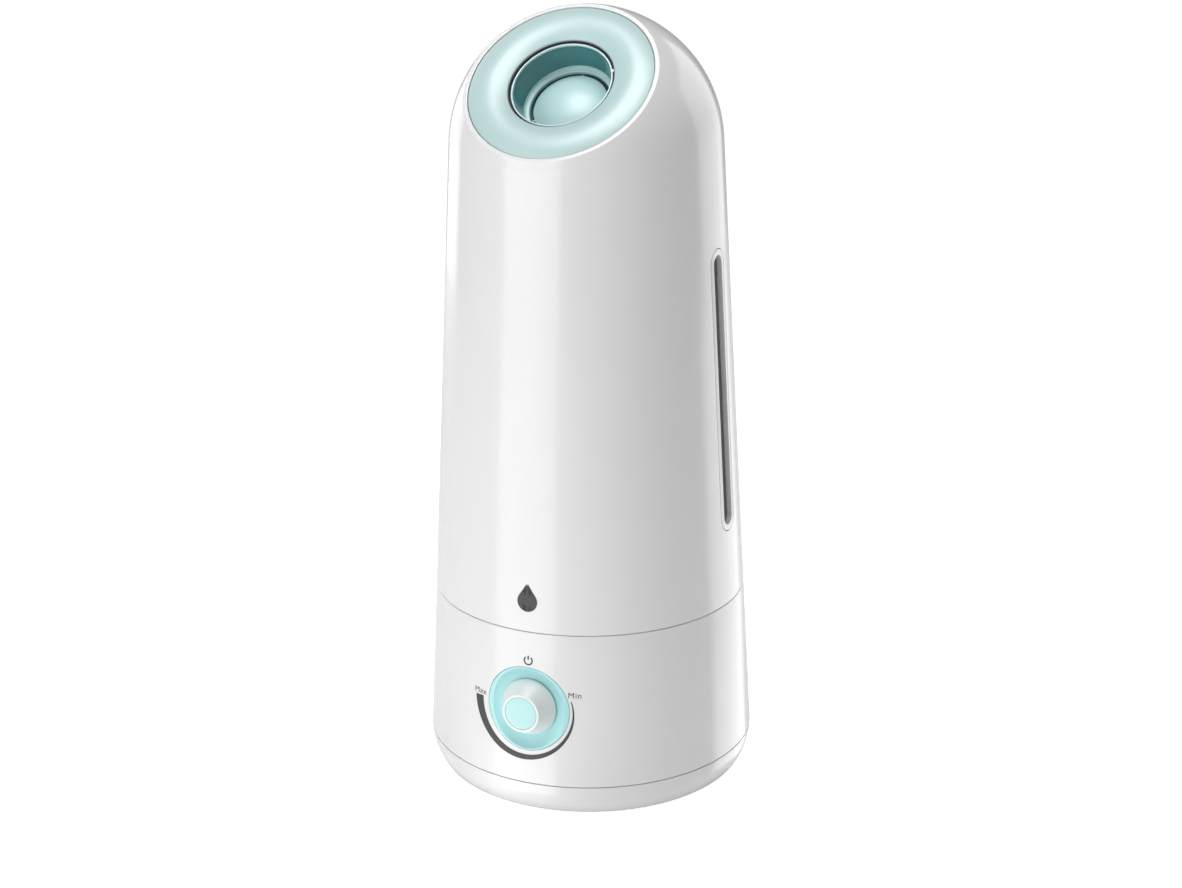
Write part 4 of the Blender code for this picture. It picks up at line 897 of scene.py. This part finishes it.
def makeScrews():
    low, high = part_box(screwNodes[0])
    radius = (high.x - low.x) / 2
    shank = radius * 0.5
    head = low.z + screwShape["head"]
    corners = [
        (0.0, high.z, 0.0), (shank * 0.4, high.z, 0.0), (shank, high.z - shank * 1.4, 0.0),
        (shank, head, 0.0), (radius, head, 0.0002), (radius, low.z, 0.0007), (0.0, low.z, 0.0),
    ]
    screw = spinOutline("panScrew", softOutline(corners, 4), 40, closed=False)
    cross = radius * screwShape["crossShare"]
    slit = screwShape["crossWide"]
    deep = low.z + screwShape["crossDeep"]
    for wide, tall in ((cross, slit), (slit, cross)):
        carve(screw, blockBetween("recess", (-wide, -tall, low.z - 0.001), (wide, tall, deep)))
    for node in screwNodes:
        low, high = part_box(node)
        twin = copyTo(screw, node.replace("_", "."), (low.x + high.x) / 2, (low.y + high.y) / 2)
        handIn(twin, "base", "steel", "turnedSteel", node)
    bpy.data.objects.remove(screw, do_unlink=True)


# power inlet at the back

inletLow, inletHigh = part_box("power_inlet")
inletMiddle = (inletLow + inletHigh) / 2
inletZ = inletMiddle.z + 0.0055 * math.sin(lean)
inletMatrix = axisMatrix((0.0, skinAt(inletZ), inletZ), (0.0, math.cos(lean), math.sin(lean)))
inletSpan = spanAround("power_inlet", inletMatrix)
inletSpan["shank"] = inletSpan["outer"] - 0.0016


def makeInlet():
    high = inletSpan["high"]
    bore = 0.0036
    corners = [
        (0.0, high - 0.009, 0.0), (bore, high - 0.009, 0.0002), (bore, high - 0.0006, 0.0),
        (bore + 0.0006, high, 0.0002), (inletSpan["outer"], high, 0.0008),
        (inletSpan["outer"], hairline, 0.0), (inletSpan["shank"], hairline, 0.0),
        (inletSpan["shank"], inletSpan["low"], 0.0004), (0.0, inletSpan["low"], 0.0),
    ]
    socket = spinOutline("powerInlet", softOutline(corners, 4), 64, closed=False)
    settle(socket, inletMatrix)
    handIn(socket, "base", "black_plastic", "blackPlastic", "power_inlet")
    pinRound = [(0.0, high - 0.0092, 0.0), (0.00085, high - 0.0092, 0.0), (0.00085, high - 0.0008, 0.0004),
                (0.0, high - 0.0004, 0.0)]
    pin = spinOutline("inletPin", softOutline(pinRound, 4), 32, closed=False)
    settle(pin, inletMatrix)
    handIn(pin, "base", "steel", "turnedSteel")


# knob, its cap and its dish

dishShape = {"depth": 0.0050, "power": 2.2, "steps": 128}
knobShape = {"edge": 0.0009, "lip": 0.0006, "steps": 96}


def makeDish():
    floor = -dishShape["depth"]
    flat = knobSpan["outer"]
    rise = dishShape["depth"] + 0.0012
    line = [Vector((dishSpan["inner"], floor))]
    for i in range(29):
        s = i / 28
        line.append(Vector((flat + (dishSpan["outer"] - flat) * s, floor + rise * s ** dishShape["power"])))
    line += [Vector((dishSpan["outer"], dishSpan["low"])), Vector((dishSpan["inner"], dishSpan["low"]))]
    dish = settle(spinOutline("knobDish", line, dishShape["steps"]), dialMatrix)
    low = dialSpot.z - 0.05
    high = dialSpot.z + 0.045
    cone = [Vector((0.0, high)), Vector((skinAt(high), high)), Vector((skinAt(low), low)), Vector((0.0, low))]
    carve(dish, spinOutline("dishOutline", cone, 360, closed=False), "INTERSECT")
    softenEdges(dish, 0.00035, 3, 40)
    handIn(dish, "base", "mint", "mintSatin", "knob_dish", smooth=35)


def makeKnob():
    front = knobSpan["high"] - hairline
    back = knobSpan["low"]
    base = knobSpan["outer"]
    seat = capSpan["outer"] + hairline
    face = seat + 0.0015
    floor = capSpan["low"] - hairline
    corners = [
        (0.0, floor, 0.0), (seat, floor, 0.0), (seat, front, 0.0003),
        (face, front, knobShape["edge"] * 0.7), (base - 0.0004, back + 0.0016, 0.0006),
        (base, back + 0.0010, 0.0004), (base - 0.0002, back, 0.0003), (base - 0.004, back, 0.0),
        (base - 0.006, front - 0.0042, 0.0), (0.0, front - 0.0042, 0.0),
    ]
    knob = spinOutline("knobBody", softOutline(corners, 5), knobShape["steps"], closed=False)
    mark = blockBetween(
        "knobPointer", (-0.0004, seat + 0.0001, front - 0.0006), (0.0004, face, front + 0.00025)
    )
    softenEdges(mark, 0.00012, 2)
    joinInto(knob, [mark])
    settle(knob, dialMatrix)
    handIn(knob, "knob", "pearl", "pearlPaint", "knob", smooth=35)

    crown = 0.00035
    cap = spinOutline(
        "knobCap",
        softOutline(
            [
                (0.0, capSpan["low"], 0.0), (capSpan["outer"] + 0.0002, capSpan["low"], 0.0),
                (capSpan["outer"] + 0.0002, capSpan["high"] - 0.0001, 0.0004),
                (capSpan["outer"] * 0.6, capSpan["high"] + crown * 0.5, 0.003),
                (0.0, capSpan["high"] + crown * 0.6, 0.0),
            ],
            6,
        ),
        knobShape["steps"],
        closed=False,
    )
    settle(cap, dialMatrix)
    handIn(cap, "knob", "mint", "mintBright", "knob_cap")


# mint ring, nozzle cup and mist dome

ringShape = {"edgeDrop": 0.0007, "innerDrop": 0.0014, "crown": 0.0031, "edge": 0.0006, "steps": 180}


def makeTopRing():
    face = shellSpan["high"]
    outer = Vector((ringSpan["outer"], face - ringShape["edgeDrop"]))
    inner = Vector((ringSpan["inner"], face - ringShape["innerDrop"]))
    across = inner - outer
    rise = Vector((-across.y, across.x)).normalized()
    if rise.y < 0:
        rise = -rise
    crown = []
    for i in range(29):
        s = i / 28
        spot = outer + across * s + rise * ringShape["crown"] * 4 * s * (1 - s)
        crown.append((spot.x, spot.y, 0.0))
    crown[0] = (*crown[0][:2], ringShape["edge"])
    crown[-1] = (*crown[-1][:2], ringShape["edge"])
    bottom = ringSpan["low"]
    corners = [
        ((ringSpan["inner"] + ringSpan["outer"]) / 2, bottom, 0.0), (ringSpan["outer"], bottom, 0.0), *crown,
        (ringSpan["inner"], bottom, 0.0), ((ringSpan["inner"] + ringSpan["outer"]) / 2, bottom, 0.0),
    ]
    ring = spinOutline("topRing", softOutline(corners, 4)[:-1], ringShape["steps"])
    settle(ring, headMatrix)
    handIn(ring, "tank", "mint", "mintGloss", "top_ring", smooth=50)


cupShape = {
    "lip": 0.0010, "flange": 0.0012, "gap": 0.0014, "lipDrop": 0.0008, "depth": 0.0180, "ledge": 0.0024,
    "ledgeRound": 0.0024, "stepRise": 0.0024, "tabTurn": 23.7, "domeGap": 0.0022, "domeCrown": 0.0070,
    "steps": 144,
}


def makeNozzle():
    lipHigh = cupSpan["high"] - cupShape["lipDrop"]
    outer = ringSpan["inner"] - cupShape["gap"]
    wallRadius = outer - cupShape["flange"]
    lipInner = outer - cupShape["lip"]
    low = cupSpan["low"]
    ledge = lipHigh - cupShape["depth"]
    flangeLow = plateSpan["high"] + hairline
    bore = cupSpan["inner"]
    lowRadius = bore + cupShape["ledge"]
    sealLow = sealSpan["low"] - hairline
    sealHigh = sealSpan["high"] + hairline
    groove = sealSpan["inner"] - hairline
    lipLow = lipHigh - 0.0016
    stepHigh = ledge + cupShape["stepRise"]
    stepOuter = lowRadius + 0.0010
    middle = (lipInner + lowRadius) / 2
    corners = [
        (middle, (lipLow + ledge) / 2, 0.0), (lipInner, lipLow, 0.0), (outer, lipLow, 0.0),
        (outer, flangeLow, 0.0002), (wallRadius, flangeLow, 0.0),
        (wallRadius, sealHigh, 0.0), (groove, sealHigh, 0.0), (groove, sealLow, 0.0),
        (wallRadius, sealLow, 0.0), (wallRadius, low, 0.0004), (bore, low, 0.0004),
        (bore, ledge - 0.0020, 0.0),
        (stepOuter, ledge - 0.0020, 0.0), (stepOuter, stepHigh, 0.0), (stepOuter - 0.0008, stepHigh, 0.0),
        (middle, (lipLow + ledge) / 2, 0.0),
    ]
    cup = spinOutline("nozzleCup", softOutline(corners, 8)[:-1], cupShape["steps"])
    settle(cup, headMatrix)
    # the cup takes the darkened mint: painted shade for its deep inside, put on its outside too
    handIn(cup, "nozzle", "mint", "mintPaintedShade", "nozzle_cup", smooth=40)

    corners = [
        ((lipInner + outer) / 2, lipLow + 0.00001, 0.0), (lipInner + 0.0001, lipLow + 0.00001, 0.0),
        (lipInner, lipHigh - 0.0003, 0.0006), (outer - cupShape["lip"] / 2, lipHigh, 0.0006),
        (outer, lipHigh - 0.0003, 0.0006), (outer, lipLow + 0.00001, 0.0),
        ((lipInner + outer) / 2, lipLow + 0.00001, 0.0),
    ]
    lip = spinOutline("nozzleLip", softOutline(corners, 5)[:-1], cupShape["steps"])
    tab = blockBetween(
        "nozzleTab", (outer - 0.0004, -0.0009, lipHigh - 0.0014), (outer + 0.0010, 0.0009, lipHigh - 0.0002)
    )
    softenEdges(tab, 0.0002, 2)
    settle(tab, Matrix.Rotation(math.radians(cupShape["tabTurn"]), 4, "Z"))
    joinInto(lip, [tab])
    settle(lip, headMatrix)
    # the lip takes the paler mint: a painted highlight along the rim
    handIn(lip, "nozzle", "mint", "mintPaintedHighlight", smooth=50)

    corners = [
        (bore, ledge - 0.0019, 0.0), (bore, ledge, 0.0006),
        (lowRadius, ledge + 0.0004, cupShape["ledgeRound"]),
        (lowRadius + 0.0003, stepHigh, 0.0), (stepOuter - 0.0001, stepHigh, 0.0),
        (stepOuter - 0.0001, ledge - 0.0019, 0.0), (bore, ledge - 0.0019, 0.0),
    ]
    step = spinOutline("nozzleStep", softOutline(corners, 8)[:-1], cupShape["steps"])
    settle(step, headMatrix)
    handIn(step, "nozzle", "mint", "mintDome", smooth=40)

    skirt = ledge - 0.001
    radius = bore - cupShape["domeGap"]
    crownHigh = cupShape["domeCrown"]
    ball = (radius ** 2 + crownHigh ** 2) / (2 * crownHigh)
    corners = [(0.0, skirt + crownHigh, 0.0)]
    for i in range(1, 25):
        r = radius * math.sin(math.pi / 2 * i / 24)
        corners.append((r, skirt + crownHigh - ball + math.sqrt(ball ** 2 - r ** 2), 0.0))
    corners[-1] = (*corners[-1][:2], 0.0006)
    corners += [(radius, skirt - 0.002, 0.0004), (0.0, skirt - 0.002, 0.0)]
    dome = spinOutline("mistDome", softOutline(corners, 4), cupShape["steps"], closed=False)
    for i in range(3):
        fin = blockBetween(
            "domeFin", (radius * 0.4, -0.00075, mistSpan["low"]), (mistSpan["outer"], 0.00075, skirt - 0.0012)
        )
        softenEdges(fin, 0.0002, 2)
        settle(fin, Matrix.Rotation(fullTurn * i / 3 + math.pi / 2, 4, "Z"))
        joinInto(dome, [fin])
    settle(dome, headMatrix)
    handIn(dome, "nozzle", "mint", "mintDome", "mist_dome", smooth=40)


springShape = {"wire": 0.0004, "turns": 5, "steps": 40, "wireSides": 12}


def makeSpring():
    # wound spring of the fill valve
    low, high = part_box("valve_spring")
    wire = springShape["wire"]
    middle = (Vector(low) + Vector(high)) / 2
    coil = (high[0] - low[0]) / 2 - wire
    clearPick()
    bpy.ops.mesh.primitive_circle_add(
        vertices=springShape["wireSides"], radius=wire, location=(coil, 0.0, low[2] + wire),
        rotation=(math.pi / 2, 0.0, 0.0),
    )
    spring = bpy.context.object
    spring.name = "valveSpring"
    bpy.ops.object.transform_apply(location=True, rotation=True, scale=True)
    turns = springShape["turns"]
    rise = (high[2] - low[2] - 2 * wire) / turns
    applyModifier(
        spring, "SCREW", axis="Z", angle=fullTurn, steps=springShape["steps"],
        render_steps=springShape["steps"], iterations=turns, screw_offset=rise, use_merge_vertices=False,
    )
    pick(spring)
    bpy.ops.object.mode_set(mode="EDIT")
    bpy.ops.mesh.select_mode(type="VERT")
    bpy.ops.mesh.select_all(action="SELECT")
    bpy.ops.mesh.remove_doubles(threshold=0.000001)
    bpy.ops.mesh.fill_holes(sides=0)
    bpy.ops.mesh.select_all(action="SELECT")
    bpy.ops.mesh.normals_make_consistent(inside=False)
    bpy.ops.object.mode_set(mode="OBJECT")
    settle(spring, Matrix.Translation((middle.x, middle.y, 0.0)))
    handIn(spring, "tank_cap", nodeSlot["valve_spring"], "turnedSteel", "valve_spring")
    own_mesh(spring)


# sizes of the black sheet that paints the shade in the slit
slitShadeShape = {"wall": 0.0005, "drop": 0.0016}


def makeSlitShade():
    # black sheet lining the slit between ring and cup: painted shade, standing in for the shadow down the gap
    outer = ringSpan["inner"] - 0.00005
    top = shellSpan["high"] - ringShape["innerDrop"] - slitShadeShape["drop"] + 0.0008
    low = plateSpan["high"] + 0.0001
    inner = ringSpan["inner"] - cupShape["gap"] + 0.0001
    corners = [
        (outer, low + 0.0004, 0.0), (outer, top, 0.0001), (outer - slitShadeShape["wall"], top, 0.0001),
        (outer - slitShadeShape["wall"], low + 0.0006, 0.0002), (inner, low + 0.0006, 0.0001), (inner, low, 0.0),
        (outer, low, 0.0), (outer, low + 0.0004, 0.0),
    ]
    shadeLiner = spinOutline("slitShadeLiner", softOutline(corners, 3)[:-1], cupShape["steps"])
    settle(shadeLiner, headMatrix)
    handIn(shadeLiner, "tank", "silicone", "blackRubber")




# prints on the base and tank

printShape = {"proud": 0.00009, "thick": 0.00003}


def layOn(piece, shell, matrix, body, paint="printInk"):
    # flat artwork is pushed back on to the curved wall, then given the ink's own thickness
    settle(piece, matrix)
    pick(piece)
    wrap = piece.modifiers.new("wrap", "SHRINKWRAP")
    wrap.target = shell
    wrap.wrap_method = "PROJECT"
    wrap.use_project_y = True
    wrap.use_positive_direction = True
    wrap.use_negative_direction = True
    wrap.offset = printShape["proud"]
    bpy.ops.object.modifier_apply(modifier=wrap.name)
    applyModifier(piece, "SOLIDIFY", thickness=printShape["thick"], offset=1.0)
    handIn(piece, body, "black_plastic", paint)


def ribbon(name, line, widths):
    # a flat band along a line, as wide as the list says at each spot
    left = []
    right = []
    for i, here in enumerate(line):
        along = (line[min(i + 1, len(line) - 1)] - line[max(i - 1, 0)]).normalized()
        side = Vector((-along.y, along.x)) * widths[i] / 2
        left.append((here + side).to_3d())
        right.append((here - side).to_3d())
    piece = startMesh(name)
    drawLine(left)
    drawLine(right)
    bpy.ops.mesh.select_all(action="SELECT")
    bpy.ops.mesh.bridge_edge_loops(number_cuts=4, interpolation="LINEAR", smoothness=0.0)
    bpy.ops.mesh.select_all(action="SELECT")
    bpy.ops.mesh.normals_make_consistent(inside=False)
    bpy.ops.object.mode_set(mode="OBJECT")
    return piece


def arcLine(centre, radius, first, last, count):
    line = []
    for i in range(count + 1):
        angle = math.radians(first + (last - first) * i / count)
        line.append(Vector((centre[0] + radius * math.cos(angle), centre[1] + radius * math.sin(angle))))
    return line


def frontMatrix(z):
    # upright plane in front of the tower, x to the right and y up
    return Matrix.Translation((0.0, -skinAt(z) - 0.01, z)) @ Matrix.Rotation(math.pi / 2, 4, "X")


# arc: inner radius and width at both ends, and the degrees it runs between
dialPrint = {"radius": (0.0300, 0.0275), "width": (0.0057, 0.0005), "turn": (178, 375), "steps": 90}
iconPrint = {"radius": 0.0025, "line": 0.0009, "above": 0.0302, "aside": 0.0009}
# word: text, how far right of the dial's middle, how far above it
wordPrint = {"size": 0.0049, "words": (("Max", -0.0322, 0.0038), ("Min", 0.0288, 0.0110))}


def makeDialPrint(shell):
    line = []
    widths = []
    for i in range(dialPrint["steps"] + 1):
        s = i / dialPrint["steps"]
        ends = [dialPrint[key] for key in ("width", "radius", "turn")]
        width, inner, turn = (first + (last - first) * s for first, last in ends)
        angle = math.radians(turn)
        radius = inner + width / 2
        line.append(Vector((radius * math.cos(angle), radius * math.sin(angle))))
        widths.append(width)
    layOn(ribbon("dialArc", line, widths), shell, frontMatrix(dialSpot.z), "base")

    stroke = iconPrint["line"]
    mark = arcLine((0.0, 0.0), iconPrint["radius"], 128, 412, 40)
    ring = ribbon("powerIcon", mark, [stroke] * len(mark))
    top = iconPrint["radius"] + 0.0006
    bar = ribbon("powerBar", [Vector((0.0, 0.0006)), Vector((0.0, top))], [stroke, stroke])
    joinInto(ring, [bar])
    aside = Matrix.Translation((iconPrint["aside"], 0.0, 0.0))
    layOn(ring, shell, aside @ frontMatrix(dialSpot.z + iconPrint["above"]), "base")

    for word, right, above in wordPrint["words"]:
        clearPick()
        bpy.ops.object.text_add(location=(0.0, 0.0, 0.0))
        text = bpy.context.object
        text.data.body = word
        text.data.size = wordPrint["size"]
        text.data.align_x = "CENTER"
        text.data.align_y = "CENTER"
        text.data.space_character = 1.12
        text.data.resolution_u = 4
        bpy.ops.object.convert(target="MESH")
        text = bpy.context.object
        text.name = "dialWord." + word
        shift = Matrix.Translation((right, 0.0, 0.0))
        layOn(text, shell, shift @ frontMatrix(dialSpot.z + above), "base")


dropPrint = {"wide": 0.0058, "tall": 0.0105, "line": 0.0009, "height": 0.1345}


def makeDropBadge(shell):
    # a plain water drop: a round belly that runs up to a point
    radius = dropPrint["wide"]
    tip = dropPrint["tall"]
    lift = math.degrees(math.asin(radius / tip))
    line = arcLine((0.0, 0.0), radius, lift, lift - 180 - 2 * lift, 48)
    top = Vector((0.0, tip))
    side = [line[0].lerp(top, 1 - i / 10) for i in range(10)]
    otherSide = [line[-1].lerp(top, (i + 1) / 10) for i in range(10)]
    outline = side + line + otherSide
    drop = ribbon("dropBadge", outline, [dropPrint["line"]] * len(outline))
    gleam = arcLine((0.0, 0.0), radius * 0.58, 200, 260, 14)
    joinInto(drop, [ribbon("dropGleam", gleam, [dropPrint["line"] * 0.8] * len(gleam))])
    layOn(drop, shell, frontMatrix(dropPrint["height"]), "tank")


# build

addCamera()
addStudio()
print("camera, floor and light placed")
tankPiece = makeTank()
makeWindow()
print("tank and window modelled")
makeBase()
makePan()
makeFeet()
makeScrews()
makeInlet()
print("base modelled")
makeDish()
makeKnob()
makeTopRing()
makeSlitShade()
makeNozzle()
makeSpring()
print("knob, ring and nozzle modelled")
makeDialPrint(bpy.data.objects["baseShell"])
makeDropBadge(tankPiece)
print("prints laid on")

for name, node in nodes.items():
    node.data.materials.clear()
    node.data.materials.append(paints[slotPaint[nodeSlot[name]]])
